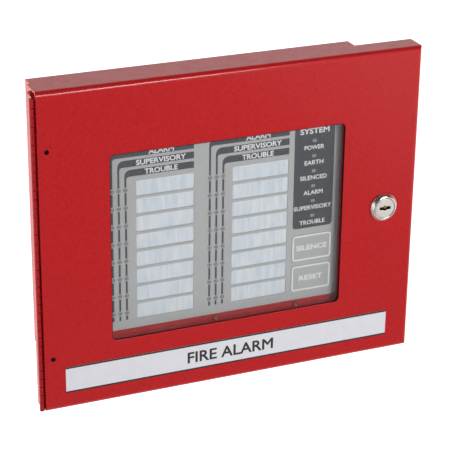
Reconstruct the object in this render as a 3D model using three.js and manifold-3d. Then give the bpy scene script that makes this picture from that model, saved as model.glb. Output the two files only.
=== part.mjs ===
// Wall-mounted fire alarm control panel: a stepped sheet-steel back box, a windowed door on a
// continuous hinge with a cam lock, and an indicator module with a membrane overlay and two keys.
//
// Sizes are in millimetres. Inside the cabinet group, x runs right from the door's left edge,
// y runs back from the door's front face and z runs up from the door's lower edge. The group is
// then placed so that the object's origin is the centre of the flat back, with +Z up.
import * as THREE from 'three';
import { mergeVertices } from 'three/addons/utils/BufferGeometryUtils.js';
import Module from 'manifold-3d';

const wasm = await Module();
wasm.setup();

// ---- Driving dimensions -------------------------------------------------------------------
const SHEET = 1.2; // steel sheet of the door, box and inner panel
const GAP = 0.3; // air left between pieces that touch in life
const DOOR = { width: 280, height: 232.7, depth: 19, bend: 3 };
const WINDOW = { x0: 49, x1: 220.7, z0: 46.3, z1: 183.5, radius: 3.5 };
const LABEL = { x0: 14.6, x1: 260.1, z0: 12.5, z1: 32.3, thick: 0.25 };
const TRAY = { x0: -0.1, x1: 276.8, y0: 2.8, y1: 19.5, z0: 3, z1: 228.3, bend: 1.6 };
const REAR = { x0: 2.4, x1: 237, y0: 19.3, y1: 33, z0: 41, z1: 232, bend: 1.6 };
const HINGE = { x: -2.1, y: 3.2, length: 228.6, knuckles: 36, barrel: 1.7, bore: 1.05, pin: 0.8 };
const LEAF = { thick: 0.9, doorReach: 12.5, boxReach: 16 };
const LENS = { y: SHEET + GAP, thick: 2, lap: 6, radius: 3 };
const RETAINER = { thick: 1, lap: 0.8, reach: 13 };
const LOCK = { x: 254.5, z: 115.8, head: 10.4, proud: 3.6, body: 7.6, plug: 5.6, bodyEnd: 12 };
const PLUG_CAP = { radius: 7.2, thick: 1.1, sunk: 0.15 }; // the plug's wide face, set in the housing
const KEYWAY = { halfWidth: 4.1, halfHeight: 0.85, depth: 8 };
const CAM = { y: 13.4, thick: 1.4, halfWidth: 5, reach: 18.4 };
const OVERLAY = { x0: 46, x1: 222.9, z0: 49.5, z1: 206, y: 8, thick: 0.6 };
const PANEL = { x0: 44, x1: 223.9, z0: 38, z1: 216, y: 8.9 };
const CARD = { width: 42.3, height: 11.1, pitch: 13.12, rows: 8, top: 159.2, columns: [69.9, 140.6] };
const KEY = { x0: 187.3, x1: 217.9, centres: [89.6, 65.9], height: 19.8, raise: 0.2 };
const BOARD = { x0: 50, x1: 222, z0: 50, z1: 204, y: 14, thick: 1.6 };
const ZONE_LAMPS = { spread: 4.95, columns: [53, 123.9] };
const SYSTEM_LAMPS = { x: 202.4, lowest: 113.9, pitch: 11.32, count: 6 };
const ENTRY = { x: 119.7, z: 66, radius: 14, bore: 11 };
const WALL_HOLES = { columns: [24, 215.4], keyholeZ: 206, roundZ: 60, head: 4.4, shank: 2.4, slot: 9 };
const KNOCKOUTS = { columns: [62, 177.4], radius: 11.1, groove: 0.9, depth: 0.5 };
const STRIKER = { tip: 265.6, y: 11.2, halfHeight: 14, legY0: 4.5, legY1: 17.5 };
const EARTH = { x: 26, z: 130, radius: 2, y0: 20.5, foot: 4, nutY0: 25, nutY1: 28 };
const SWITCH = { front: 12.3, button: 1.4, half: 3, depth: 0.6 }; // tactile switches under the keys
const TERMINALS = { z: 60, depth: 10, height: 10, pitch: 5.08 };
const ADDRESS = { x: 150, z: 120, width: 20.8, height: 9.6, depth: 4.5, ways: 8, pitch: 2.54 };
const SOUNDER = { x: 196, z: 150, radius: 11, depth: 8.5, port: 2 };
const CHIPS = [
  { name: 'controller_chip', x: 80, z: 120, width: 22, height: 22 },
  { name: 'lamp_driver_left', x: 66, z: 160, width: 18, height: 8 },
  { name: 'lamp_driver_right', x: 134, z: 160, width: 18, height: 8 },
];

// ---- Finishes -----------------------------------------------------------------------------
const finish = (color, roughness, metalness = 0) =>
  new THREE.MeshStandardMaterial({ color, roughness, metalness });
const redPaint = () => finish(0xb32a2e, 0.45);
const zinc = () => finish(0xb9bcc0, 0.4, 0.9);
const nickel = () => finish(0xd7d2cd, 0.25, 1);
const blackPlastic = () => finish(0x1c1d1f, 0.5);

// ---- Solids -------------------------------------------------------------------------------
/** Turns a closed three.js geometry into a solid that can be joined and cut. */
function solid(geometry) {
  const bare = geometry.clone();
  bare.deleteAttribute('normal');
  bare.deleteAttribute('uv');
  const merged = mergeVertices(bare, 1e-4);
  return new wasm.Manifold(new wasm.Mesh({
    numProp: 3,
    vertProperties: Float32Array.from(merged.attributes.position.array),
    triVerts: Uint32Array.from(merged.index.array),
  }));
}

/** A block between two opposite corners. */
function block(x0, x1, y0, y1, z0, z1) {
  const geometry = new THREE.BoxGeometry(x1 - x0, y1 - y0, z1 - z0);
  geometry.translate((x0 + x1) / 2, (y0 + y1) / 2, (z0 + z1) / 2);
  return solid(geometry);
}

/** A round bar along y, or along z when upright. */
function roundBar(x, z, radius, y0, y1, sides = 16) {
  const geometry = new THREE.CylinderGeometry(radius, radius, y1 - y0, sides);
  geometry.translate(x, (y0 + y1) / 2, z);
  return solid(geometry);
}

function uprightBar(x, y, radius, z0, z1, sides = 8) {
  const geometry = new THREE.CylinderGeometry(radius, radius, z1 - z0, sides);
  geometry.rotateX(Math.PI / 2);
  geometry.translate(x, y, (z0 + z1) / 2);
  return solid(geometry);
}

/** A cone frustum along y, from radius r0 at y0 to radius r1 at y1. */
function taper(x, z, r0, y0, r1, y1, sides = 16) {
  const geometry = new THREE.CylinderGeometry(r1, r0, y1 - y0, sides);
  geometry.translate(x, (y0 + y1) / 2, z);
  return solid(geometry);
}

/** The outline of a rectangle in the x-z plane with rounded corners. */
function roundedOutline(x0, x1, z0, z1, r) {
  const shape = new THREE.Shape();
  shape.moveTo(x0 + r, z0);
  shape.lineTo(x1 - r, z0);
  shape.absarc(x1 - r, z0 + r, r, -Math.PI / 2, 0);
  shape.lineTo(x1, z1 - r);
  shape.absarc(x1 - r, z1 - r, r, 0, Math.PI / 2);
  shape.lineTo(x0 + r, z1);
  shape.absarc(x0 + r, z1 - r, r, Math.PI / 2, Math.PI);
  shape.lineTo(x0, z0 + r);
  shape.absarc(x0 + r, z0 + r, r, Math.PI, 1.5 * Math.PI);
  return shape;
}

/** A flat plate from y0 to y1, with rounded corners. */
function roundedSlab(x0, x1, z0, z1, r, y0, y1) {
  const geometry = new THREE.ExtrudeGeometry(roundedOutline(x0, x1, z0, z1, r), {
    depth: y1 - y0,
    curveSegments: 3,
    bevelEnabled: false,
  });
  geometry.rotateX(Math.PI / 2);
  geometry.translate(0, y1, 0);
  return solid(geometry);
}

/** A y-z or x-y outline made solid along x or z. */
function extrudeAlongX(points, x0, x1) {
  const shape = new THREE.Shape(points.map(([y, z]) => new THREE.Vector2(y, z)));
  const geometry = new THREE.ExtrudeGeometry(shape, { depth: x1 - x0, bevelEnabled: false });
  geometry.applyMatrix4(new THREE.Matrix4().set(0, 0, 1, x0, 1, 0, 0, 0, 0, 1, 0, 0, 0, 0, 0, 1));
  return solid(geometry);
}

function extrudeAlongZ(points, z0, z1) {
  const shape = new THREE.Shape(points.map(([x, y]) => new THREE.Vector2(x, y)));
  const geometry = new THREE.ExtrudeGeometry(shape, { depth: z1 - z0, bevelEnabled: false });
  geometry.translate(0, 0, z0);
  return solid(geometry);
}

/** Points of a quarter bend about a centre, from one angle to another in degrees. */
function bend(cx, cy, radius, from, to, steps = 4) {
  return Array.from({ length: steps + 1 }, (_, i) => {
    const angle = THREE.MathUtils.degToRad(from + ((to - from) * i) / steps);
    return [cx + radius * Math.cos(angle), cy + radius * Math.sin(angle)];
  });
}

/** A full block whose front top, front bottom and front right edges are bent round. */
function bentBlock(x0, x1, y0, y1, z0, z1, r) {
  const side = [
    [y1, z0], [y1, z1],
    ...bend(y0 + r, z1 - r, r, 90, 180),
    ...bend(y0 + r, z0 + r, r, 180, 270),
  ];
  const plan = [[x0, y1], [x0, y0], ...bend(x1 - r, y0 + r, r, -90, 0), [x1, y1]];
  return extrudeAlongX(side, x0 - 1, x1 + 1).intersect(extrudeAlongZ(plan, z0 - 1, z1 + 1));
}

/** A full block whose four back edges are bent round, with sharp butt seams between its walls. */
function foldedBlock({ x0, x1, y0, y1, z0, z1, bend: r }) {
  const side = [[y0, z1], [y0, z0], ...bend(y1 - r, z0 + r, r, -90, 0), ...bend(y1 - r, z1 - r, r, 0, 90)];
  const plan = [[x0, y0], [x1, y0], ...bend(x1 - r, y1 - r, r, 0, 90), ...bend(x0 + r, y1 - r, r, 90, 180)];
  return extrudeAlongX(side, x0 - 1, x1 + 1).intersect(extrudeAlongZ(plan, z0 - 1, z1 + 1));
}

/** Wraps a solid in a named mesh. */
function part(name, body, material) {
  const { numProp, vertProperties, triVerts } = body.getMesh();
  const positions = new Float32Array((vertProperties.length / numProp) * 3);
  for (let i = 0; i < positions.length / 3; i += 1) {
    positions.set(vertProperties.subarray(i * numProp, i * numProp + 3), i * 3);
  }
  const geometry = new THREE.BufferGeometry();
  geometry.setAttribute('position', new THREE.BufferAttribute(positions, 3));
  geometry.setIndex(new THREE.BufferAttribute(Uint32Array.from(triVerts), 1));
  geometry.computeVertexNormals();
  const mesh = new THREE.Mesh(geometry, material);
  mesh.name = name;
  return mesh;
}

// ---- Back box -----------------------------------------------------------------------------
const BACK_FACE = REAR.y1 - SHEET; // front surface of the flat back sheet

/** A keyhole: a round hole for a screw's head, and a slot above it for the shank. */
function keyhole(x, z) {
  const { head, shank, slot } = WALL_HOLES;
  const slit = block(x - shank, x + shank, BACK_FACE - 1, REAR.y1 + 1, z, z + slot);
  return roundBar(x, z, head, BACK_FACE - 1, REAR.y1 + 1, 14).add(slit);
}

/** The shallow ring pressed round a knock-out in the flat back. */
function knockoutRing(x, z) {
  const { radius, groove, depth } = KNOCKOUTS;
  const y0 = REAR.y1 - depth;
  return roundBar(x, z, radius, y0, REAR.y1 + 1, 20)
    .subtract(roundBar(x, z, radius - groove, y0 - 1, REAR.y1 + 2, 20));
}

function backBox() {
  const trayHollow = block(TRAY.x0 + SHEET, TRAY.x1 - SHEET, -10, TRAY.y1 - SHEET,
    TRAY.z0 + SHEET, TRAY.z1 - SHEET);
  const rearHollow = block(REAR.x0 + SHEET, REAR.x1 - SHEET, REAR.y0 + SHEET, BACK_FACE,
    REAR.z0 + SHEET, REAR.z1 - SHEET);
  const passage = block(REAR.x0 + SHEET, REAR.x1 - SHEET, TRAY.y1 - 4, REAR.y0 + 3,
    REAR.z0 + SHEET, TRAY.z1 - SHEET);
  let box = foldedBlock(TRAY).add(foldedBlock(REAR));
  box = box.subtract(trayHollow).subtract(rearHollow).subtract(passage);
  box = box.subtract(roundBar(ENTRY.x, ENTRY.z, ENTRY.radius, BACK_FACE - 1, REAR.y1 + 1, 24));
  for (const x of WALL_HOLES.columns) {
    box = box.subtract(keyhole(x, WALL_HOLES.keyholeZ));
    box = box.subtract(roundBar(x, WALL_HOLES.roundZ, WALL_HOLES.shank, BACK_FACE - 1, REAR.y1 + 1, 12));
  }
  for (const x of KNOCKOUTS.columns) {
    box = box.subtract(knockoutRing(x, ENTRY.z));
  }
  return part('back_box', box, redPaint());
}

/** A rubber ring that lines the cable entry, with a flange on each side of the sheet. */
function entryGrommet() {
  const flange = ENTRY.radius + 2;
  const y0 = BACK_FACE - GAP - 1.5;
  const outer = roundBar(ENTRY.x, ENTRY.z, flange, y0, BACK_FACE - GAP, 24);
  const sleeve = roundBar(ENTRY.x, ENTRY.z, ENTRY.radius - GAP, y0, REAR.y1 - 0.1, 24);
  const bore = roundBar(ENTRY.x, ENTRY.z, ENTRY.bore, y0 - 1, REAR.y1 + 1, 24);
  return part('entry_grommet', outer.add(sleeve).subtract(bore), finish(0x1a1a1a, 0.7));
}

/** An angle bracket inside the tray's right wall, which the lock's cam turns behind. */
function lockStriker() {
  const { tip, y, halfHeight, legY0, legY1 } = STRIKER;
  const wall = TRAY.x1 - SHEET - GAP;
  const ends = [LOCK.z - halfHeight, LOCK.z + halfHeight];
  const leg = block(wall - SHEET, wall, legY0, legY1, ...ends);
  const tab = block(tip, wall, y, y + CAM.thick, ...ends);
  return part('lock_striker', leg.add(tab), zinc());
}

function earthStud() {
  const { x, z, radius, y0, foot, nutY0, nutY1 } = EARTH;
  const stud = roundBar(x, z, radius, y0, BACK_FACE - GAP, 12);
  const disc = roundBar(x, z, foot, BACK_FACE - GAP - 1, BACK_FACE - GAP, 12);
  const nut = roundBar(x, z, foot, nutY0, nutY1, 6)
    .subtract(roundBar(x, z, radius + GAP, nutY0 - 1, nutY1 + 1, 12));
  return [part('earth_stud', stud.add(disc), finish(0xb08d3c, 0.35, 1)),
    part('earth_nut', nut, finish(0xb08d3c, 0.35, 1))];
}

// ---- Continuous hinge ---------------------------------------------------------------------
const KNUCKLE = HINGE.length / HINGE.knuckles;

/** Joins the barrel's own knuckles to a flat leaf and clears the other leaf's knuckles. */
function hingeLeaf(name, leaf, clearance, parity) {
  let body = leaf;
  for (let i = 0; i < HINGE.knuckles; i += 1) {
    const z0 = i * KNUCKLE;
    if (i % 2 === parity) {
      const knuckle = uprightBar(HINGE.x, HINGE.y, HINGE.barrel, z0 + GAP / 2, z0 + KNUCKLE - GAP / 2);
      body = body.add(knuckle);
    } else {
      body = body.subtract(block(...clearance, z0 - GAP / 2, z0 + KNUCKLE + GAP / 2));
    }
  }
  const bore = uprightBar(HINGE.x, HINGE.y, HINGE.bore, -1, HINGE.length + 1, 6);
  return part(name, body.subtract(bore), redPaint());
}

const leafEnds = [GAP / 2, HINGE.length - GAP / 2];
const SIDE_HOLES = [40, 191.3].map((z) => [6.1, z]); // through the door's sheet and its leaf

function hingeBoxLeaf() {
  const outer = HINGE.x + HINGE.barrel;
  const leaf = block(outer - LEAF.thick, outer, HINGE.y, LEAF.boxReach, ...leafEnds);
  const clear = HINGE.y + HINGE.barrel + 0.5;
  return hingeLeaf('hinge_box_leaf', leaf, [outer - 3, outer + 1, HINGE.y - 3, clear], 0);
}

function hingeDoorLeaf() {
  const front = HINGE.y - HINGE.barrel;
  const foot = DOOR.bend + GAP;
  let leaf = block(HINGE.x, LEAF.doorReach, front, front + LEAF.thick, foot, leafEnds[1]);
  for (const [x, z] of SIDE_HOLES) {
    leaf = leaf.subtract(roundBar(x, z, 1.9, front - 1, front + 2, 10));
  }
  const clear = HINGE.x + HINGE.barrel + 0.5;
  return hingeLeaf('hinge_door_leaf', leaf, [HINGE.x - 3, clear, front - 1, front + 3], 1);
}

const hingePin = () =>
  part('hinge_pin', uprightBar(HINGE.x, HINGE.y, HINGE.pin, 0.4, HINGE.length - 0.4, 8), zinc());

// ---- Door ---------------------------------------------------------------------------------
function doorPanel() {
  const { width, height, depth, bend: r } = DOOR;
  const hollow = bentBlock(-5, width - SHEET, SHEET, depth + 5, SHEET, height - SHEET, r - SHEET);
  const opening = roundedSlab(WINDOW.x0, WINDOW.x1, WINDOW.z0, WINDOW.z1, WINDOW.radius, -2, 4);
  let pan = bentBlock(0, width, 0, depth, 0, height, r).subtract(hollow).subtract(opening);
  pan = pan.subtract(roundBar(LOCK.x, LOCK.z, LOCK.body + GAP, -2, 4, 20));
  for (const [x, z] of SIDE_HOLES) {
    pan = pan.subtract(roundBar(x, z, 1.7, -2, 4, 10));
  }
  return part('door_panel', pan, redPaint());
}

function windowLens() {
  const { y, thick, lap, radius } = LENS;
  const body = roundedSlab(WINDOW.x0 - lap, WINDOW.x1 + lap, WINDOW.z0 - lap, WINDOW.z1 + lap,
    radius, y, y + thick);
  return part('window_lens', body, finish(0xdfe5e8, 0.1));
}

const POST_INSET = 10.5; // from the window's edge to the studs round it
const NUT_POSTS = [WINDOW.x0 - POST_INSET, WINDOW.x1 + POST_INSET].flatMap((x) =>
  [WINDOW.z0 - POST_INSET, WINDOW.z1 + POST_INSET].map((z) => [x, z]));
const RETAINER_Y = LENS.y + LENS.thick + GAP;

/** The frame that clamps the lens to the door, over four welded studs. */
function lensRetainer() {
  const { thick, lap, reach } = RETAINER;
  let body = roundedSlab(WINDOW.x0 - reach, WINDOW.x1 + reach, WINDOW.z0 - reach,
    WINDOW.z1 + reach, 4, RETAINER_Y, RETAINER_Y + thick);
  body = body.subtract(roundedSlab(WINDOW.x0 - lap, WINDOW.x1 + lap, WINDOW.z0 - lap,
    WINDOW.z1 + lap, WINDOW.radius, RETAINER_Y - 1, RETAINER_Y + thick + 1));
  for (const [x, z] of NUT_POSTS) {
    body = body.subtract(roundBar(x, z, 1.6 + GAP, RETAINER_Y - 1, RETAINER_Y + thick + 1, 10));
  }
  return part('lens_retainer', body, redPaint());
}

/** A stud welded behind the door's sheet, with its nut run down on it. */
function lensNut([x, z], index) {
  const stud = roundBar(x, z, 1.5, SHEET + GAP, RETAINER_Y + 4.2, 10);
  const nut = roundBar(x, z, 3.2, RETAINER_Y + RETAINER.thick + GAP, RETAINER_Y + 3.4, 6);
  return part(`lens_nut_${index + 1}`, stud.add(nut), zinc());
}

const labelStrip = () => part('label_strip',
  block(LABEL.x0, LABEL.x1, -LABEL.thick - 0.05, -0.05, LABEL.z0, LABEL.z1), finish(0xd9d9de, 0.4));

// ---- Cam lock -----------------------------------------------------------------------------
const LOCK_FRONT = -LOCK.proud;
const PLUG_FACE = LOCK_FRONT + PLUG_CAP.sunk;
const CAP_BACK = PLUG_FACE + PLUG_CAP.thick;

function lockHousing() {
  const { x, z, head, body, plug, bodyEnd } = LOCK;
  const flange = roundBar(x, z, head, -1.6, -GAP / 3, 24).add(
    taper(x, z, head - 1.4, LOCK_FRONT, head, -1.6, 24));
  const barrel = roundBar(x, z, body, -1, bodyEnd, 20);
  const bore = roundBar(x, z, plug + 0.06, LOCK_FRONT - 1, bodyEnd + 1, 20);
  const seat = roundBar(x, z, PLUG_CAP.radius + 0.1, LOCK_FRONT - 1, CAP_BACK + GAP, 24);
  return part('lock_housing', flange.add(barrel).subtract(bore).subtract(seat), nickel());
}

function lockNut() {
  const y0 = SHEET + GAP;
  const nut = roundBar(LOCK.x, LOCK.z, 11, y0, y0 + 3, 6);
  const bore = roundBar(LOCK.x, LOCK.z, LOCK.body + 0.1, y0 - 1, y0 + 4, 20);
  return part('lock_nut', nut.subtract(bore), zinc());
}

/** The turning plug: a wide face with the keyway, and a square tail for the cam at the back. */
function lockPlug() {
  const { x, z, plug, bodyEnd } = LOCK;
  const core = roundBar(x, z, plug * 0.985, PLUG_FACE, bodyEnd + 0.4, 20);
  const cap = roundBar(x, z, PLUG_CAP.radius - 0.05, PLUG_FACE, CAP_BACK, 24);
  const tail = block(x - 2.6, x + 2.6, bodyEnd, CAM.y + CAM.thick, z - 2.6, z + 2.6);
  const { halfWidth, halfHeight, depth } = KEYWAY;
  const keyway = block(x - halfWidth, x + halfWidth, PLUG_FACE - 1, PLUG_FACE + depth,
    z - halfHeight, z + halfHeight);
  const thread = roundBar(x, z, 1.2, bodyEnd, CAM.y + CAM.thick + 2, 8);
  return part('lock_plug', core.add(cap).add(tail).subtract(keyway).subtract(thread), nickel());
}

/** The cam, which points up when unlocked and right, behind the striker, when locked. */
function lockCam() {
  const { x, z } = LOCK;
  const { y, thick, halfWidth, reach } = CAM;
  const blade = roundedSlab(x - halfWidth, x + halfWidth, z - halfWidth - 1, z + reach, 3, y,
    y + thick);
  const square = block(x - 2.9, x + 2.9, y - 1, y + thick + 1, z - 2.9, z + 2.9);
  return part('lock_cam', blade.subtract(square), zinc());
}

function camScrew() {
  const { x, z } = LOCK;
  const y0 = CAM.y + CAM.thick + GAP;
  const head = roundBar(x, z, 4.2, y0, y0 + 1.8, 14);
  const shank = roundBar(x, z, 0.9, y0 - 2.6, y0 + 0.5, 8);
  const slot = block(x - 5, x + 5, y0 + 1.2, y0 + 3, z - 0.5, z + 0.5);
  return part('cam_screw', head.add(shank).subtract(slot), zinc());
}

// ---- Indicator module ---------------------------------------------------------------------
const PANEL_BACK = PANEL.y + SHEET;
const PANEL_SCREWS = [48.8, 129.2, 191.2].flatMap((x) => [45.5, 211].map((z) => [x, z]));
const cardRow = (row) => CARD.top - row * CARD.pitch;
const KEY_MIDDLE = (KEY.x0 + KEY.x1) / 2;
const keyBox = (z, grow) =>
  [KEY.x0 - grow, KEY.x1 + grow, z - KEY.height / 2 - grow, z + KEY.height / 2 + grow];

/** The three columns of lamps beside a column of cards, one lamp of each column per card. */
const zoneLamps = (left) => [0, 1, 2].flatMap((column) =>
  Array.from({ length: CARD.rows }, (_, row) =>
    [left + column * ZONE_LAMPS.spread, cardRow(row) - CARD.height / 2]));
const systemLamps = Array.from({ length: SYSTEM_LAMPS.count }, (_, row) =>
  [SYSTEM_LAMPS.x, SYSTEM_LAMPS.lowest + row * SYSTEM_LAMPS.pitch]);
const LAMP_GROUPS = [...ZONE_LAMPS.columns.map(zoneLamps), systemLamps];

/** The lowest and highest x and z of a list of points. */
function spread(points) {
  const xs = points.map(([x]) => x);
  const zs = points.map(([, z]) => z);
  return [Math.min(...xs), Math.max(...xs), Math.min(...zs), Math.max(...zs)];
}

/** The painted plate that carries the module, with slots behind the lamps and the keys. */
function innerPanel() {
  const { x0, x1, z0, z1, y } = PANEL;
  let plate = roundedSlab(x0, x1, z0, z1, 3, y, PANEL_BACK);
  const cut = (a, b, c, d) => {
    plate = plate.subtract(block(a, b, y - 1, PANEL_BACK + 1, c, d));
  };
  for (const posts of LAMP_GROUPS) {
    const [left, right, bottom, top] = spread(posts);
    cut(left - 2.5, right + 2.5, bottom - 3, top + 3);
  }
  for (const z of KEY.centres) {
    cut(...keyBox(z, -2));
  }
  for (const [x, z] of PANEL_SCREWS) {
    plate = plate.subtract(roundBar(x, z, 1.8, y - 1, PANEL_BACK + 1, 8));
  }
  return part('inner_panel', plate, redPaint());
}

/** The printed overlay, with clear windows for the zone cards and openings for the keys. */
function membraneOverlay() {
  const { x0, x1, z0, z1, y, thick } = OVERLAY;
  let sheet = roundedSlab(x0, x1, z0, z1, 2, y, y + thick);
  for (const left of CARD.columns) {
    for (let row = 0; row < CARD.rows; row += 1) {
      const top = cardRow(row);
      sheet = sheet.subtract(block(left, left + CARD.width, y - 1, y + 1, top - CARD.height, top));
    }
  }
  for (const z of KEY.centres) {
    const [a, b, c, d] = keyBox(z, 0.35);
    sheet = sheet.subtract(roundedSlab(a, b, c, d, 2, y - 1, y + 2));
  }
  return part('membrane_overlay', sheet, finish(0xa0a1a1, 0.45));
}

/** A slide-in card seen through one column of windows: a strip with a raised pad for each row. */
function zoneCard(name, left) {
  const back = OVERLAY.y + OVERLAY.thick;
  const bottom = cardRow(CARD.rows - 1) - CARD.height;
  let card = block(left - 1, left + CARD.width + 1, back + 0.06, back + 0.24, bottom - 1,
    CARD.top + 1);
  for (let row = 0; row < CARD.rows; row += 1) {
    const top = cardRow(row) - 0.3;
    card = card.add(block(left + 0.3, left + CARD.width - 0.3, OVERLAY.y + 0.15, back + 0.1,
      top - CARD.height + 0.6, top));
  }
  return part(name, card, finish(0xc8d0d8, 0.5));
}

/** A push key: an embossed pad in the overlay with a stem that reaches its switch. */
function pushKey(name, z) {
  const front = OVERLAY.y - KEY.raise;
  const [a, b, c, d] = keyBox(z, 0);
  const pad = roundedSlab(a, b, c, d, 2, front, front + 0.8);
  const stem = block(KEY_MIDDLE - 2, KEY_MIDDLE + 2, front + 0.4, SWITCH.front - GAP, z - 2, z + 2);
  return part(name, pad.add(stem), finish(0xa0a1a1, 0.45));
}

/** A moulded light guide: a base strip with one post for each lamp of a group. */
function lightGuide(name, posts) {
  const [left, right, bottom, top] = spread(posts);
  let guide = block(left - 2, right + 2, PANEL_BACK + GAP, 12, bottom - 2, top + 2);
  for (const [x, z] of posts) {
    guide = guide.add(block(x - 0.9, x + 0.9, 9, 11, z - 1.4, z + 1.4));
  }
  return part(name, guide, finish(0xe8e8e0, 0.3));
}

/** A hexagonal pillar from the flat back to the inner panel. */
function pillar([x, z], index) {
  const body = roundBar(x, z, 2.9, PANEL_BACK + GAP, BACK_FACE - GAP, 6);
  const bore = roundBar(x, z, 1.5, PANEL_BACK, PANEL_BACK + 8, 8);
  return part(`pillar_${index + 1}`, body.subtract(bore), zinc());
}

function panelScrew([x, z], index) {
  const head = roundBar(x, z, 2.3, PANEL.y - GAP / 3 - 1.5, PANEL.y - GAP / 3, 14);
  const shank = roundBar(x, z, 1.2, PANEL.y - 1, PANEL_BACK + 6, 8);
  const cross = block(x - 1.6, x + 1.6, PANEL.y - 4, PANEL.y - 1, z - 0.35, z + 0.35)
    .add(block(x - 0.35, x + 0.35, PANEL.y - 4, PANEL.y - 1, z - 1.6, z + 1.6));
  return part(`panel_screw_${index + 1}`, head.add(shank).subtract(cross), zinc());
}

const BOARD_BACK = BOARD.y + BOARD.thick;
const BOARD_POSTS = [BOARD.x0 + 4, BOARD.x1 - 4].flatMap((x) =>
  [BOARD.z0 + 4, BOARD.z1 - 4].map((z) => [x, z]));

function circuitBoard() {
  let board = block(BOARD.x0, BOARD.x1, BOARD.y, BOARD_BACK, BOARD.z0, BOARD.z1);
  for (const [x, z] of BOARD_POSTS) {
    board = board.subtract(roundBar(x, z, 1.5, BOARD.y - 1, BOARD_BACK + 1, 8));
  }
  return part('circuit_board', board, finish(0x1f5a35, 0.5));
}

/** A spacer between the inner panel and the board, with the stub that its nut would grip. */
function boardSpacer([x, z], index) {
  const body = roundBar(x, z, 2.8, PANEL_BACK + GAP, BOARD.y - GAP, 6);
  const stub = roundBar(x, z, 1.1, BOARD.y - 1, BOARD_BACK + 3, 8);
  const clip = roundBar(x, z, 2.4, BOARD_BACK + GAP, BOARD_BACK + 2, 8);
  return part(`board_spacer_${index + 1}`, body.add(stub).add(clip), finish(0xe6e2d6, 0.5));
}

/** A short block that stands off the back or front of the board. */
const onBoardBack = (x0, x1, z0, z1, height) =>
  block(x0, x1, BOARD_BACK + GAP / 3, BOARD_BACK + height, z0, z1);

/** A pluggable terminal block with a row of wire funnels and clamp screws. */
function terminalBlock(name, x0, ways) {
  const { z: z0, depth, height, pitch } = TERMINALS;
  let body = onBoardBack(x0, x0 + ways * pitch + 1, z0, z0 + height, depth);
  for (let way = 0; way < ways; way += 1) {
    const x = x0 + 0.5 + pitch * (way + 0.5);
    body = body.subtract(block(x - 1.6, x + 1.6, BOARD_BACK + 3, BOARD_BACK + 7, z0 - 1, z0 + 6));
    body = body.subtract(roundBar(x, z0 + 6.5, 1.6, BOARD_BACK + depth - 2, BOARD_BACK + depth + 1, 8));
  }
  return part(name, body, finish(0x2f7a3c, 0.5));
}

const chip = ({ name, x, z, width, height }) =>
  part(name, onBoardBack(x, x + width, z, z + height, 2.4), blackPlastic());

/** A bank of small slide switches that sets the panel's address. */
function addressSwitch() {
  const { x: x0, z: z0, width, height, depth, ways, pitch } = ADDRESS;
  let body = onBoardBack(x0, x0 + width, z0, z0 + height, depth);
  for (let way = 0; way < ways; way += 1) {
    const x = x0 + (width - (ways - 1) * pitch) / 2 + way * pitch;
    body = body.subtract(block(x - 0.7, x + 0.7, BOARD_BACK + depth - 0.8, BOARD_BACK + depth + 1,
      z0 + 2.4, z0 + 7));
  }
  return part('address_switch', body, finish(0x2c4f9e, 0.45));
}

function sounder() {
  const { x, z, radius, depth, port } = SOUNDER;
  const can = roundBar(x, z, radius, BOARD_BACK + GAP / 3, BOARD_BACK + depth, 20);
  const mouth = roundBar(x, z, port, BOARD_BACK + depth - 2.5, BOARD_BACK + depth + 1, 10);
  return part('sounder', can.subtract(mouth), blackPlastic());
}

/** The tactile switch in front of the board that a key's stem presses. */
function tactSwitch(name, z) {
  const { front, button, half, depth } = SWITCH;
  const can = block(KEY_MIDDLE - half, KEY_MIDDLE + half, front + depth, BOARD.y - 0.1, z - half, z + half);
  const cap = roundBar(KEY_MIDDLE, z, button, front, front + depth + 0.1, 8);
  return part(name, can.add(cap), blackPlastic());
}

// ---- Assembly -----------------------------------------------------------------------------
const cabinet = new THREE.Group();
cabinet.add(
  backBox(), entryGrommet(), lockStriker(), ...earthStud(),
  hingeBoxLeaf(), hingePin(),
  innerPanel(), membraneOverlay(),
  zoneCard('zone_card_left', CARD.columns[0]), zoneCard('zone_card_right', CARD.columns[1]),
  ...['left', 'right', 'system'].map((side, i) =>
    lightGuide(`light_guide_${side}`, LAMP_GROUPS[i])),
  ...PANEL_SCREWS.map(pillar), ...PANEL_SCREWS.map(panelScrew),
  circuitBoard(), ...BOARD_POSTS.map(boardSpacer),
  terminalBlock('terminal_block_power', 62, 6), terminalBlock('terminal_block_data', 150, 8),
  ...CHIPS.map(chip), addressSwitch(), sounder(),
  tactSwitch('silence_switch', KEY.centres[0]), tactSwitch('reset_switch', KEY.centres[1]),
);

const door = new THREE.Group();
door.add(
  doorPanel(), hingeDoorLeaf(), windowLens(), lensRetainer(), ...NUT_POSTS.map(lensNut),
  labelStrip(), lockHousing(), lockNut(), lockPlug(), lockCam(), camScrew(),
);

const keys = new THREE.Group();
keys.add(pushKey('silence_key', KEY.centres[0]), pushKey('reset_key', KEY.centres[1]));

const controlPanel = new THREE.Group();
controlPanel.add(cabinet, door, keys);
controlPanel.position.set(-(REAR.x0 + REAR.x1) / 2, -REAR.y1, -(REAR.z0 + REAR.z1) / 2);

export default controlPanel;
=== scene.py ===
"""Looks of a wall-mounted fire alarm control panel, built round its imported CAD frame.

Every length is in metres, in the frame of the CAD model: x runs right, y back into the wall, z up.
Shapes are first written in millimetres from the closed door's lower left front corner, as a
sheet-metal drawing gives them, and `placed` turns them into the frame's metres.
"""

import math

import bmesh
import bpy
import numpy as np
from mathutils import Matrix, Vector
from mathutils.geometry import tessellate_polygon


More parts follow.
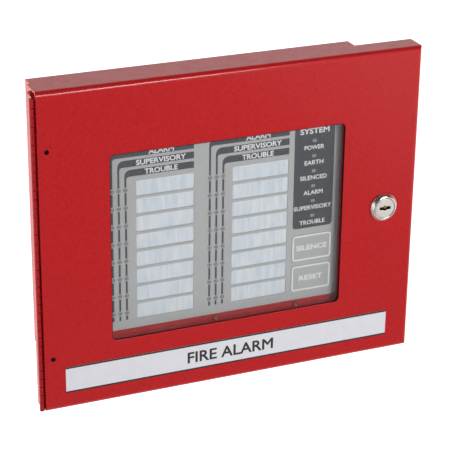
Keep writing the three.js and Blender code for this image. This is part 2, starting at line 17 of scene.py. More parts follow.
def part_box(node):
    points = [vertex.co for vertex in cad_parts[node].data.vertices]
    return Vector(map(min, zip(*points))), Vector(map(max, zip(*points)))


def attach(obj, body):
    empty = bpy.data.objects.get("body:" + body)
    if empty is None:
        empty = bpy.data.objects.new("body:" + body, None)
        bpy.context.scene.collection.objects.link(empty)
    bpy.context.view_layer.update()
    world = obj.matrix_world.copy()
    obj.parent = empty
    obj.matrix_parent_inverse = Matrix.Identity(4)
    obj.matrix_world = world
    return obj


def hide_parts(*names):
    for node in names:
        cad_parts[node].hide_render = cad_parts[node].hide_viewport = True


bl_info = {
    "name": "Fire alarm control panel",
    "version": (1, 0, 0),
    "blender": (4, 5, 0),
    "location": "3D View > Sidebar > Alarm panel",
    "description": "Builds the finished surfaces of a shallow alarm cabinet with a windowed door",
    "category": "Object",
}

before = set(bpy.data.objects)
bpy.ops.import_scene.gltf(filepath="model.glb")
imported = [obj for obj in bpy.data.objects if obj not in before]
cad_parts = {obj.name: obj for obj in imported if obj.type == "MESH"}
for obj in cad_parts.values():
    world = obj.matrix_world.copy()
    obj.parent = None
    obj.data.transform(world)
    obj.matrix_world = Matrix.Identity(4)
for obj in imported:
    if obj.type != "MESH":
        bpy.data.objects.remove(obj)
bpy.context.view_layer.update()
MM = 0.001
QUARTER = math.pi / 2
SAME_POINT = 1e-6
NO_LENGTH = 1e-7
DOOR_LOW, DOOR_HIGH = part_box("door_panel")
DOOR_SIZE = (DOOR_HIGH - DOOR_LOW) / MM


# ---- Lengths and places -------------------------------------------------------------------
def placed(points):
    """Millimetres from the door's lower left front corner, turned into the frame's metres."""
    return np.asarray(points, float) * MM + np.array(DOOR_LOW)


def box_mm(node):
    """A CAD node's lowest and highest corners, in millimetres from the door's corner."""
    low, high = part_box(node)
    return np.array((low - DOOR_LOW) / MM), np.array((high - DOOR_LOW) / MM)


# ---- Outlines: closed loops of (x, z) points, anticlockwise from the front ---------------------
def rounded_rectangle(x0, x1, z0, z1, radius, grow=0.0, steps=6):
    """Four quarter circles joined by straight sides; grow pushes the whole loop outwards."""
    x0, x1, z0, z1 = x0 - grow, x1 + grow, z0 - grow, z1 + grow
    r = max(radius + grow, 0.01)
    turn = np.linspace(0, QUARTER, steps + 1)
    centres = np.array([(x1 - r, z0 + r), (x1 - r, z1 - r), (x0 + r, z1 - r), (x0 + r, z0 + r)])
    starts = np.array([-1, 0, 1, 2]) * QUARTER
    angles = (starts[:, None] + turn).ravel()
    middles = np.repeat(centres, steps + 1, axis=0)
    return middles + r * np.stack([np.cos(angles), np.sin(angles)], 1)


def circle(x, z, radius, grow=0.0, steps=40):
    """Equally spaced points round a centre."""
    angles = np.arange(steps) * 2 * math.pi / steps
    return np.array([x, z]) + (radius + grow) * np.stack([np.cos(angles), np.sin(angles)], 1)


# ---- Meshes -------------------------------------------------------------------------------
class Skin:
    """Points and faces gathered from several surfaces before they become one mesh."""

    def __init__(self):
        self.points = []
        self.faces = []
        self.count = 0

    def add(self, points, faces):
        """Takes a surface's points in millimetres and its faces as rows of point numbers."""
        self.points.append(np.asarray(points, float).reshape(-1, 3))
        for row in np.asarray(faces) + self.count:
            self.faces.append(row.tolist())
        self.count += len(self.points[-1])

    def grid(self, points, wrap=False):
        """Joins neighbours on a grid of rings; wrap closes each ring on itself."""
        rings, around = points.shape[:2]
        number = np.arange(rings * around).reshape(rings, around)
        here = number if wrap else number[:, :-1]
        beside = np.roll(number, -1, axis=1) if wrap else number[:, 1:]
        quads = np.stack([here[:-1], beside[:-1], beside[1:], here[1:]], -1).reshape(-1, 4)
        self.add(points, quads)

    def cap(self, loops, y):
        """Fills the flat region between the first loop and the others, at depth y."""
        flat = [[Vector((x, z, 0)) for x, z in loop] for loop in loops]
        points = np.concatenate(loops)
        triangles = np.array(tessellate_polygon(flat))
        self.add(at_depth(points, y), triangles)


def at_depth(loop, y):
    """An outline in the x-z plane, lifted to depth y."""
    return np.stack([loop[:, 0], np.full(len(loop), float(y)), loop[:, 1]], 1)


def add_plate(skin, outer, holes, y0, y1, edge, steps=3, back_edge=None):
    """A flat plate from y0 to y1 with holes. Each outline is a function of how far it grows.

    Round each outline the profile runs in along the front by a narrow margin, through a quarter
    circle of radius edge to the wall, back along the wall and round again to the back face.
    """
    back_edge = edge if back_edge is None else back_edge
    turn = np.linspace(0, QUARTER, steps + 1)
    margin = max(edge, 0.1)
    inset = np.concatenate([[edge + margin], edge * (1 - np.sin(turn)),
                            back_edge * (1 - np.cos(turn)), [back_edge + margin]])
    depth = np.concatenate([[y0], y0 + edge * (1 - np.cos(turn)),
                            y1 - back_edge * (1 - np.sin(turn)), [y1]])
    inward = [(outer, -1)] + [(hole, 1) for hole in holes]
    for outline, sign in inward:
        rings = [at_depth(outline(sign * d), y) for d, y in zip(inset, depth)]
        skin.grid(np.stack(rings), wrap=True)
    for d, y in ((inset[0], y0), (inset[-1], y1)):
        skin.cap([outline(sign * d) for outline, sign in inward], y)


def add_turned(skin, x, z, profile, sides=48):
    """A profile of (radius, y) points turned round an axis along y; it starts and ends at radius 0."""
    angles = np.arange(sides) * 2 * math.pi / sides
    radius, depth = np.array(profile, float).T
    ring_x = x + radius[:, None] * np.cos(angles)
    ring_z = z + radius[:, None] * np.sin(angles)
    ring_y = np.repeat(depth[:, None], sides, axis=1)
    skin.grid(np.stack([ring_x, ring_y, ring_z], -1), wrap=True)


def arc(cx, cy, radius, start, end, steps=6):
    """Points of a circular arc between two angles in degrees."""
    angles = np.radians(np.linspace(start, end, steps + 1))
    return [(cx + radius * math.cos(a), cy + radius * math.sin(a)) for a in angles]


def hand_over(name, mesh, key, body, nodes=()):
    """Gives a mesh its finish, links it as an object, and tells the frame what it rides on."""
    mesh.materials.append(material(key))
    piece = bpy.data.objects.new(name, mesh)
    bpy.context.scene.collection.objects.link(piece)
    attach(piece, body)
    if nodes:
        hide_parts(*nodes)
    return piece


def make_piece(name, skin, key, body, *, nodes=(), sharp=180):
    """Turns a skin into a piece in the finish of that key, with merged points and outward faces."""
    mesh = bpy.data.meshes.new(name)
    mesh.from_pydata(placed(np.concatenate(skin.points)), [], skin.faces)
    work = bmesh.new()
    work.from_mesh(mesh)
    bmesh.ops.remove_doubles(work, verts=work.verts, dist=SAME_POINT)
    bmesh.ops.dissolve_degenerate(work, edges=work.edges, dist=NO_LENGTH)
    bmesh.ops.recalc_face_normals(work, faces=work.faces)
    work.to_mesh(mesh)
    work.free()
    mesh.shade_smooth()
    mesh.set_sharp_from_angle(angle=math.radians(sharp))
    piece = hand_over(name, mesh, key, body, nodes)
    weighting = piece.modifiers.new("flat_faces_rule_normals", "WEIGHTED_NORMAL")
    weighting.keep_sharp = True


# ---- Materials ----------------------------------------------------------------------------
def linear(colour):
    """An sRGB hex colour such as '#b32a2e' as linear red, green, blue and alpha."""
    values = np.array([int(colour[i:i + 2], 16) for i in (1, 3, 5)]) / 255
    low = values / 12.92
    high = ((values + 0.055) / 1.055) ** 2.4
    return (*np.where(values <= 0.04045, low, high), 1.0)


def add_node(tree, kind, options=None, **inputs):
    """Adds a node; inputs are values or sockets to link, by the socket's name or, as _2, its number."""
    node = tree.nodes.new(kind)
    for name, value in (options or {}).items():
        setattr(node, name, value)
    for name, value in inputs.items():
        socket = node.inputs[int(name[1:])] if name[0] == "_" else node.inputs[name.replace("_", " ")]
        if isinstance(value, bpy.types.NodeSocket):
            tree.links.new(value, socket)
        else:
            socket.default_value = value
    return node


def new_material(name, **shader):
    """A material with one Principled shader, whose constants go straight on its sockets."""
    material = bpy.data.materials.new(name)
    material.use_nodes = True
    tree = material.node_tree
    tree.nodes.clear()
    surface = add_node(tree, "ShaderNodeBsdfPrincipled", **shader)
    output = add_node(tree, "ShaderNodeOutputMaterial")
    tree.links.new(surface.outputs["BSDF"], output.inputs["Surface"])
    coords = add_node(tree, "ShaderNodeTexCoord").outputs["Object"]
    return material, tree, surface, coords


def grain(tree, coords, size, detail=2.0, roughness=0.5):
    """Noise whose features are about size across."""
    return add_node(tree, "ShaderNodeTexNoise", Vector=coords, Scale=1 / size, Detail=detail,
                    Roughness=roughness).outputs["Fac"]


def spread_between(tree, factor, low, high, first=0.3, last=0.7):
    """Maps first to low and last to high, as set for a noise's middle range, and holds the ends."""
    return add_node(tree, "ShaderNodeMapRange", Value=factor, From_Min=first, From_Max=last,
                    To_Min=low, To_Max=high).outputs["Result"]


def sum_up(tree, operation, *values):
    """The result of a Math node on those values or sockets."""
    numbered = {f"_{i}": value for i, value in enumerate(values)}
    return add_node(tree, "ShaderNodeMath", {"operation": operation}, **numbered).outputs[0]


def dent(tree, height, depth, surface, strength=1.0, socket="Normal"):
    """Feeds a height in 0 to 1, scaled to a depth in metres, into one of the shader's normals."""
    bump = add_node(tree, "ShaderNodeBump", Strength=strength, Distance=depth, Height=height)
    tree.links.new(bump.outputs["Normal"], surface.inputs[socket])


def finish_colour(key, shade=1.0):
    """A finish's colour from the settings, darkened by a shade."""
    return tuple(np.array(getattr(settings("finish_settings"), key)) * (shade, shade, shade, 1.0))


def mottled(tree, surface, factor, key, dark_key=None):
    """Lets a factor in 0 to 1 choose between a darker tone and the finish's own colour."""
    dark = finish_colour(dark_key) if dark_key else finish_colour(key, 0.9)
    tone = add_node(tree, "ShaderNodeMix", {"data_type": "RGBA"}, Factor=factor, _6=dark,
                    _7=finish_colour(key))
    tree.links.new(tone.outputs[2], surface.inputs["Base Color"])


def powder_coat(key, name, dark_key):
    """Semi-gloss polyester powder coat on steel, baked until it flows.

    The fine orange peel breaks highlights into specks, the mottling keeps the red from looking
    flat, and the glossy skin draws one thin bright line along every bend.
    """
    material, tree, surface, coords = new_material(
        name, IOR=1.45, Specular_IOR_Level=0.12, Coat_Weight=0.62,
        Coat_Roughness=0.15, Coat_IOR=1.45)
    speckle = spread_between(tree, grain(tree, coords, 1.3 * MM, 3.0), 0, 1, 0.33, 0.67)
    mottled(tree, surface, speckle, key, dark_key)
    tree.links.new(spread_between(tree, grain(tree, coords, 9 * MM), 0.4, 0.5),
                   surface.inputs["Roughness"])
    peel = grain(tree, coords, 0.9 * MM, 2.0)
    dent(tree, peel, 0.09 * MM, surface)
    dent(tree, peel, 0.03 * MM, surface, socket="Coat Normal")
    return material


def plated_metal(key, name, smooth, rough, scratch=0.35):
    """Plated or bare bright metal: a mirror clouded by the plating and by hairline marks.

    The clouds and the fine upright hairs soften the reflections just enough to look handled.
    """
    material, tree, surface, coords = new_material(name, Metallic=1.0)
    mottled(tree, surface, spread_between(tree, grain(tree, coords, 2.4 * MM, 3.0), 0, 1), key)
    stretched = add_node(tree, "ShaderNodeMapping", Vector=coords, Scale=(1.0, 6.0, 9.0))
    hair = grain(tree, stretched.outputs["Vector"], 1.6 * MM, 4.0)
    tree.links.new(spread_between(tree, hair, smooth, rough), surface.inputs["Roughness"])
    dent(tree, hair, 0.01 * MM, surface, scratch)
    return material


def satin_metal(key):
    """Cast and plated face of the lock's plug: bead-blasted, so it looks grainy and evenly pale."""
    material, tree, surface, coords = new_material("blasted_nickel_face", Metallic=1.0)
    fine = grain(tree, coords, 0.45 * MM, 3.0)
    mottled(tree, surface, spread_between(tree, fine, 0, 1), key)
    tree.links.new(spread_between(tree, fine, 0.42, 0.56), surface.inputs["Roughness"])
    dent(tree, fine, 0.03 * MM, surface, 0.6)
    return material


def moulded(key, name, smooth=0.38, rough=0.52, size=0.5 * MM, **constants):
    """Moulded or printed plastic: an even colour with a fine spark-eroded grain.

    The grain spreads highlights into a soft sheen, as on film, ink, rubber or a moulded case.
    """
    material, tree, surface, coords = new_material(name, **constants)
    mottled(tree, surface, spread_between(tree, grain(tree, coords, 6 * MM, 3.0), 0.6, 1), key)
    fine = grain(tree, coords, size, 2.0)
    tree.links.new(spread_between(tree, fine, smooth, rough), surface.inputs["Roughness"])
    dent(tree, fine, 0.02 * MM, surface, 0.5)
    return material


def label_card(key):
    """Smooth white card under clear film: pale blue-white, with soft upright bands of painted sheen and
    shade.

    The bands are painted light and shade in the card's colour, beside matching streaks in roughness and
    bumps; they make each window look slightly wavy.
    """
    material, tree, surface, coords = new_material("card_under_clear_film", Coat_Weight=0.5,
                                                   Coat_Roughness=0.12)
    upright = add_node(tree, "ShaderNodeMapping", Vector=coords, Scale=(1.0, 1.0, 0.12))
    streak = grain(tree, upright.outputs["Vector"], 2.8 * MM, 4.0, 0.6)
    # Painted sheen and shade: the streaks mix the card's colour with its darker bluish tone.
    mottled(tree, surface, spread_between(tree, streak, 0, 1, 0.3, 0.66), key, "card_shade")
    tree.links.new(spread_between(tree, streak, 0.3, 0.5), surface.inputs["Roughness"])
    dent(tree, streak, 0.03 * MM, surface, 0.3)
    return material


def clear_sheet(key):
    """Clear polycarbonate: light passes straight through, with a faint haze and a Fresnel mirror.

    The haze lifts the darkest tones behind the sheet; the mirror gives its glassy edge. Light isn't
    bent on its way in, so the back face takes the inverse index and mirrors no more than the front.
    """
    material = bpy.data.materials.new("clear_polycarbonate_sheet")
    material.use_nodes = True
    tree = material.node_tree
    tree.nodes.clear()
    coords = add_node(tree, "ShaderNodeTexCoord").outputs["Object"]
    ripple = add_node(tree, "ShaderNodeBump", Strength=0.15, Distance=0.02 * MM,
                      Height=grain(tree, coords, 30 * MM)).outputs["Normal"]
    passing = add_node(tree, "ShaderNodeBsdfTransparent", Color=finish_colour(key))
    milky = add_node(tree, "ShaderNodeBsdfDiffuse", Color=finish_colour("white_film"))
    haze = spread_between(tree, grain(tree, coords, 14 * MM), 0.018, 0.026)
    body = add_node(tree, "ShaderNodeMixShader", _0=haze, _1=passing.outputs[0], _2=milky.outputs[0])
    mirror = add_node(tree, "ShaderNodeBsdfGlossy", Roughness=0.03, Normal=ripple)
    index = 1.35
    behind = add_node(tree, "ShaderNodeNewGeometry").outputs["Backfacing"]
    bend = spread_between(tree, behind, index, 1 / index, 0, 1)
    facing = add_node(tree, "ShaderNodeFresnel", IOR=bend, Normal=ripple).outputs["Fac"]
    both = add_node(tree, "ShaderNodeMixShader", _0=facing, _1=body.outputs[0], _2=mirror.outputs[0])
    output = add_node(tree, "ShaderNodeOutputMaterial")
    tree.links.new(both.outputs[0], output.inputs["Surface"])
    return material


def solder_mask(key):
    """Green solder mask over copper: dark ground with paler tracks that run in straight lanes.

    The raised lanes catch the light, so the board reads as printed copper under lacquer.
    """
    material, tree, surface, coords = new_material("green_solder_mask", Coat_Weight=0.4)
    turned = add_node(tree, "ShaderNodeMapping", Vector=coords, Rotation=(QUARTER, 0, 0))
    lanes = add_node(tree, "ShaderNodeTexBrick", {"offset": 0.5}, Vector=turned.outputs["Vector"],
                     Scale=1 / (16 * MM), Mortar_Size=0.012, Mortar_Smooth=0.1, Brick_Width=0.6,
                     Row_Height=0.16, Color1=finish_colour(key), Color2=finish_colour(key, 0.85),
                     Mortar=finish_colour("track"))
    tree.links.new(lanes.outputs["Color"], surface.inputs["Base Color"])
    tree.links.new(spread_between(tree, grain(tree, coords, 2 * MM), 0.3, 0.45),
                   surface.inputs["Roughness"])
    dent(tree, lanes.outputs["Fac"], 0.04 * MM, surface, 0.5)
    return material


MATERIAL_MAKERS = {
    "red": lambda key: powder_coat(key, "red_powder_coat_semi_gloss", "red_shade"),
    # The hinge's coat is the red darkened a little: painted shade.
    "hinge_red": lambda key: powder_coat(key, "red_powder_coat_darkened_for_painted_shade_on_hinge", "hinge_shade"),
    "nickel": lambda key: plated_metal(key, "polished_nickel_plate", 0.08, 0.18),
    "plug_face": satin_metal,
    "zinc": lambda key: plated_metal(key, "bright_zinc_plate", 0.24, 0.42),
    "brass": lambda key: plated_metal(key, "machined_brass", 0.2, 0.38),
    "film": lambda key: moulded(key, "screen_printed_polyester_film", 0.42, 0.55),
    "dark_ink": lambda key: moulded(key, "slate_screen_ink", 0.45, 0.6),
    "light_ink": lambda key: moulded(key, "pale_screen_ink", 0.5, 0.65),
    "lamp": lambda key: moulded(key, "frosted_lamp_window", 0.3, 0.4),
    "white_film": lambda key: moulded(key, "white_vinyl_label", 0.35, 0.5),
    "black_ink": lambda key: moulded(key, "black_label_ink", 0.4, 0.55),
    # Real rubber on the grommet, and painted shade on the hole plugs, window strip and keyway lining.
    "rubber": lambda key: moulded(key, "moulded_black_rubber_and_painted_shade", 0.7, 0.9, Specular_IOR_Level=0.15),
    "black": lambda key: moulded(key, "moulded_black_epoxy"),
    "green": lambda key: moulded(key, "moulded_green_polyamide"),
    "blue": lambda key: moulded(key, "moulded_blue_polyester"),
    "nylon": lambda key: moulded(key, "natural_nylon"),
    "milky": lambda key: moulded(key, "milky_acrylic_guide", 0.2, 0.3),
    "card": label_card,
    "clear": clear_sheet,
    "board": solder_mask,
}
MADE = {}


def material(key):
    """The finish of that key, made on first use."""
    if key not in MADE:
        MADE[key] = MATERIAL_MAKERS[key](key)
    return MADE[key]


def refinish(key, *nodes):
    """Gives CAD nodes a new finish through their material slots."""
    for node in nodes:
        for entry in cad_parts[node].material_slots:
            entry.material = material(key)


# ---- Settings -----------------------------------------------------------------------------
def length(label, value, about):
    """A length setting, given in millimetres."""
    return bpy.props.FloatProperty(name=label, description=about, default=value * MM, unit="LENGTH",
                                   precision=5)


def colour(label, value, about):
    """A colour setting, given as an sRGB hex colour."""
    return bpy.props.FloatVectorProperty(name=label, description=about, default=linear(value), size=4,
                                         min=0, max=1, subtype="COLOR")


def amount(label, value, about):
    """A plain number setting."""
    return bpy.props.FloatProperty(name=label, description=about, default=value, min=0)


class DoorSettings(bpy.types.PropertyGroup):
    """Sizes of the folded door."""

    bend: length("Bend radius", 3.5, "Outer radius of the door's folded edges")
    sheet: length("Sheet", 1.2, "Thickness of the door's steel")
    edge: length("Edge rounding", 0.22, "How far the paint rounds a cut edge")
    window_x: length("Window left", 49.0, "From the door's left edge to the window")
    window_z: length("Window bottom", 46.3, "From the door's lower edge to the window")
    window_width: length("Window width", 173.0, "Width of the opening")
    window_height: length("Window height", 137.2, "Height of the opening")
    window_radius: length("Window corner", 3.5, "Corner radius of the opening")


class LabelSettings(bpy.types.PropertyGroup):
    """Sizes of the label and its wording."""

    longer: length("Longer", 1.0, "How far the label runs on past the CAD label's right end")
    line: length("Border line", 1.24, "Width of the dark lines along its top and foot")
    words_width: length("Wording width", 66.0, "From the first letter to the last")
    words_height: length("Wording height", 8.6, "Height of the capitals")
    words_x: length("Wording place", 137.4, "From the door's left edge to the wording's middle")


class HingeSettings(bpy.types.PropertyGroup):
    """Sizes of the continuous hinge."""

    radius: length("Barrel radius", 1.7, "Outer radius of the knuckles")
    bore: length("Bore radius", 0.85, "Inner radius of the knuckles, round the pin")
    soften: length("Knuckle rounding", 0.36, "Radius of the knuckles' rounded ends")
    gap: length("Knuckle gap", 0.22, "What each knuckle's end stands back")
    stem_gap: length("Stem gap", 0.3, "What each end of a knuckle's stem stands back")
    leaf: length("Leaf", 0.9, "Thickness of the leaves")
    knuckles: bpy.props.IntProperty(name="Knuckles", description="Both leaves together", default=36)


class LockSettings(bpy.types.PropertyGroup):
    """Sizes of the cam lock."""

    play: length("Play", 0.12, "Between the plug's face and the ring, and from one front to the other")
    barrel: length("Barrel radius", 7.5, "Outer radius of the housing behind the door")
    door_hole: length("Door hole", 7.9, "Radius of the door's hole for the lock")
    dome: length("Ring crown", 1.2, "Radius of the ring's crown")
    core: length("Plug radius", 5.4, "Radius of the plug behind its wide face")
    key_length: length("Keyway length", 8.6, "Length of the keyway's slot")
    key_height: length("Keyway height", 2.3, "Height of the keyway's slot")
    key_middle: length("Keyway middle", 1.85, "Radius of the round hole at the keyway's middle")


class ModuleSettings(bpy.types.PropertyGroup):
    """Sizes of the printed overlay."""

    ink: length("Ink", 0.03, "Height of the printed ink above the film")
    line: length("Line width", 1.45, "Width of the lines that join the lamps")
    lead: length("Band height", 4.9, "Height of the heading bands")


class FinishSettings(bpy.types.PropertyGroup):
    """Colours of the finishes; where none is named, the mottling's darker tone is a tenth darker."""

    red: colour("Red coat", "#bf181c", "Powder coat of the cabinet, the door and the panel")
    # The hinge's coat and its darker tone are the red darkened a little: painted shade for the barrel and
    # pin in the shadow of the door's edge.
    hinge_red: colour("Hinge coat", "#b21519", "Thinner coat on the hinge, a little darker")
    hinge_shade: colour("Hinge coat in its dimples", "#9c1115", "Darker tone of its mottling")
    red_shade: colour("Red coat in its dimples", "#ad1418", "Darker specks of the powder coat")
    nickel: colour("Nickel", "#efebe5", "Polished ring of the lock")
    plug_face: colour("Plug face", "#e9e4dc", "Blasted face of the lock's plug, and the worn screw slots")
    zinc: colour("Zinc", "#ccd0d4", "Plated fasteners, striker and cam")
    brass: colour("Brass", "#d2b063", "Lock wafers and earth stud")
    film: colour("Overlay film", "#bdbfbf", "Grey printed film and key pads")
    dark_ink: colour("Slate ink", "#3f4249", "Heading bands, lamp lines and system column")
    light_ink: colour("Pale ink", "#f6f7f8", "Words and outlines on the overlay")
    lamp: colour("Lamp windows", "#a4a6a8", "Frosted windows over the lamps")
    white_film: colour("Label film", "#dddce2", "White strip along the door's foot")
    black_ink: colour("Label ink", "#26211f", "Words and lines on the label")
    # The same black is real rubber on the grommet, and painted shade on the hole plugs, the window strip
    # and the keyway's lining.
    rubber: colour("Rubber", "#0a0a0a", "Grommet, plugs, window strip and the keyway's inside")
    black: colour("Black plastic", "#26272a", "Chips, switches and sounder")
    green: colour("Green plastic", "#3a8a4b", "Terminal blocks")
    blue: colour("Blue plastic", "#2f54a6", "Address switch")
    nylon: colour("Nylon", "#e9e5da", "Board spacers")
    milky: colour("Milky acrylic", "#ecece6", "Light guides")
    card: colour("Card", "#eff3f5", "Label cards behind the film")
    # The card's darker bluish tone paints sheen and shade in soft upright bands.
    card_shade: colour("Card in shade", "#d2e0ee", "Bluish bands where the film stands off the card")
    clear: colour("Clear sheet", "#fafafa", "Tint of the window")
    board: colour("Board", "#225a36", "Solder mask")
    track: colour("Track", "#3c8a52", "Copper tracks under the solder mask")
    paper: colour("Paper", "#fbfbfb", "The floor")


class StageSettings(bpy.types.PropertyGroup):
    """The floor, the lights and the camera."""

    azimuth: bpy.props.FloatProperty(name="Azimuth", description="Turn of the view round the panel",
                                     default=math.radians(-22.775), subtype="ANGLE")
    elevation: bpy.props.FloatProperty(name="Elevation", description="Height of the view",
                                       default=math.radians(23.472), subtype="ANGLE")
    roll: bpy.props.FloatProperty(name="Roll", description="Tilt of the camera about its line of sight",
                                  default=math.radians(0.653), subtype="ANGLE")
    aim_left: length("Aim left", 8.0, "How far left of the door's middle the camera looks")
    aim_up: length("Aim up", 4.25, "How far above the door's middle the camera looks")
    distance: length("Distance", 1189.4, "From the camera to the point it looks at")
    lens: bpy.props.FloatProperty(name="Lens", description="Focal length in millimetres", default=137.96)
    floor: length("Floor drop", 420.0, "From the door's lower edge down to the floor")
    front_glow: amount("Floor glow in front", 0.02, "How brightly the floor shines in front")
    back_glow: amount("Floor glow behind", 1.1, "How brightly the floor shines far behind")
    air_behind: amount("Air behind", 1.2, "Brightness of the air behind the panel")
    air_front: amount("Air in front", 0.07, "Brightness of the air in front and overhead")
    key: amount("Key light", 3.75, "Power of the soft box in front, to the right, in watts")
    left: amount("Left light", 2.9, "Power of the soft box behind, to the left, in watts")


def settings(kind):
    """The scene's settings of one kind."""
    return getattr(bpy.context.scene, kind)


# ---- Door ---------------------------------------------------------------------------------
# The two small holes beside the hinge: their places as x and z, and their radius.
SIDE_HOLES = ((6.1, 40.0), (6.1, 191.3))
SIDE_HOLE_RADIUS = 1.7
# The narrow strip beside a rounded edge, in edge roundings, which keeps the flat front flat.
MARGIN = 2.5


def window_outline(grow=0.0, steps=8):
    """The door's window, grown outwards."""
    door = settings("door_settings")
    x0, z0 = door.window_x / MM, door.window_z / MM
    return rounded_rectangle(x0, x0 + door.window_width / MM, z0, z0 + door.window_height / MM,
                             door.window_radius / MM, grow, steps)


def lock_centre():
    """The lock's axis, as x and z in millimetres."""
    low, high = box_mm("lock_housing")
    return (low[0] + high[0]) / 2, (low[2] + high[2]) / 2


class ALARM_OT_door(bpy.types.Operator):
    """Folds the door: a flat front with its openings, and three lips bent back round a radius"""

    bl_idname = "alarm_panel.door"
    bl_label = "Door"

    def execute(self, context):
        door = settings("door_settings")
        r, t, e = door.bend / MM, door.sheet / MM, door.edge / MM
        width, depth, height = DOOR_SIZE
        skin = Skin()
        self.add_front(skin, r, t, e, width, height)
        self.add_lips(skin, r, t, e, width, depth, height)
        make_piece("door_skin", skin, "red", "door",
                   nodes=["door_panel"], sharp=35)
        self.add_hole_painted_shade_plugs(t)
        self.add_window_seal(t)
        return {"FINISHED"}

    def add_window_seal(self, t):
        """Painted shade: a thin black strip that lines the window's cut edge, just inside the opening,
        where the jamb lies in shadow.
        """
        shade_strip = Skin()
        gap, thickness, sunk = 0.03, 0.3, 0.12
        outer = lambda g: window_outline(g - gap)
        inner = lambda g: window_outline(g - gap - thickness)
        add_plate(shade_strip, outer, [inner], sunk, t - 0.05, 0.03, steps=1)
        make_piece("window_edge_painted_shade_strip", shade_strip, "rubber", "door", sharp=40)

    def add_hole_painted_shade_plugs(self, t):
        """Painted shade: small black plugs, sunk in the two holes beside the hinge, so the holes look dark
        as in shadow.
        """
        plugs = Skin()
        gap, sunk, longer, rounding = 0.04, 0.9, 0.5, 0.15
        for x, z in SIDE_HOLES:
            plug = lambda g: circle(x, z, SIDE_HOLE_RADIUS - gap, g, 20)
            add_plate(plugs, plug, [], sunk, t + longer, rounding)
        make_piece("door_hole_painted_shade_plugs", plugs, "rubber", "door", sharp=40)

    def add_front(self, skin, r, t, e, width, height):
        """The flat front: its border meets the bends on three sides and is rounded on the left."""
        x_lock, z_lock = lock_centre()
        lock_hole = settings("lock_settings").door_hole / MM
        openings = [window_outline, lambda g: circle(x_lock, z_lock, lock_hole, g, 32)]
        openings += [lambda g, h=hole: circle(*h, SIDE_HOLE_RADIUS, g, 20) for hole in SIDE_HOLES]
        turn = np.linspace(0, QUARTER, 4)
        margin = MARGIN * e
        inset = np.concatenate([[margin], e * (1 - np.sin(turn)), e * (1 - np.cos(turn)), [margin]])
        level = np.concatenate([[0], e * (1 - np.cos(turn)), t - e * (1 - np.sin(turn)), [t]])
        for outline in openings:
            rings = np.stack([at_depth(outline(d), y) for d, y in zip(inset, level)])
            skin.grid(rings, wrap=True)
        border = np.array([(margin, r), (width - r, r), (width - r, height - r), (margin, height - r)])
        for y in (0, t):
            skin.cap([border, *[outline(margin) for outline in openings]], y)
        side = np.stack([inset, level], 1)
        edge = [[(x, y, z) for x, y in side] for z in (r, height - r)]
        skin.grid(np.array(edge))

    def add_lips(self, skin, r, t, e, width, depth, height):
        """The lips' section, carried along the border with mitred corners.

        The section goes out round the bend, back along the lip, round its cut end and home along
        the inner face. `out` is how far a point lies beyond the flat front's border.
        """
        outer = [(r + out, y) for out, y in arc(-r, r, r, -90, 0, 12)]
        cut_end = arc(-e, depth - e, e, 0, 90, 3) + arc(-t + e, depth - e, e, 90, 180, 3)
        inner = [(r + out, y) for out, y in arc(-r, r, r - t, 0, -90, 12)]
        section = np.array(outer + [(r + out, y) for out, y in cut_end] + inner)
        out, level = section.T
        left = np.full_like(out, MARGIN * e)
        corners = [(left, r - out), (width - r + out, r - out),
                   (width - r + out, height - r + out), (left, height - r + out)]
        rings = np.array([np.stack([x, level, z], 1) for x, z in corners])
        skin.grid(rings)
        self.add_lip_ends(skin, section, e, r, height)

    def add_lip_ends(self, skin, section, e, r, height):
        """Closes each lip's left end with a rounded rim and a flat cut face."""
        middle = (section + section[::-1]) / 2
        count = len(section)
        turn = np.linspace(0, QUARTER, 4)
        toward = middle - section
        reach = np.linalg.norm(toward, axis=1, keepdims=True)
        toward = toward / np.maximum(reach, 1e-9)
        for z_of in (lambda out: r - out, lambda out: height - r + out):
            rings = []
            for angle in [None, *turn]:
                shrink = 0 if angle is None else e * (1 - math.cos(angle))
                x = MARGIN * e if angle is None else e * (1 - math.sin(angle))
                out, y = (section + toward * shrink).T
                rings.append(np.stack([np.full(count, x), y, z_of(out)], 1))
            skin.grid(np.array(rings))
            half = count // 2
            face = rings[-1]
            skin.grid(np.stack([face[:half], face[::-1][:half]]))


class ALARM_OT_label(bpy.types.Operator):
    """Lays the white label along the door's foot, with its dark border lines and plain wording"""

    bl_idname = "alarm_panel.label"
    bl_label = "Label"

    def execute(self, context):
        label = settings("label_settings")
        half_line = label.line / MM / 2
        low, high = box_mm("label_strip")
        high[0] += label.longer / MM
        skin = Skin()
        outline = lambda g: rounded_rectangle(low[0], high[0], low[2], high[2], 0.6, g, 3)
        above_paint = -0.02
        add_plate(skin, outline, [], low[1], above_paint, 0.05)
        make_piece("label_film", skin, "white_film", "door",
                   nodes=["label_strip"])
        border = Skin()
        for z in (low[2] + half_line, high[2] - half_line):
            bar = lambda g: rounded_rectangle(low[0], high[0], z - half_line, z + half_line, 0.1, g, 2)
            add_plate(border, bar, [], low[1] - 0.03, low[1] + 0.02, 0.01)
        make_piece("label_border", border, "black_ink", "door")
        place = (label.words_x / MM, low[1], (low[2] + high[2]) / 2)
        lettering("label_wording", "FIRE ALARM", (label.words_width / MM, label.words_height / MM),
                  place, "black_ink", "door", bold=0.24)
        return {"FINISHED"}


# ---- Hinge --------------------------------------------------------------------------------
def hinge_axis():
    """The pin's centre as x and y, and the hinge's lowest and highest z, in millimetres."""
    low, high = box_mm("hinge_pin")
    leaf_low, leaf_high = box_mm("hinge_box_leaf")
    return (low[0] + high[0]) / 2, (low[1] + high[1]) / 2, leaf_low[2], leaf_high[2]


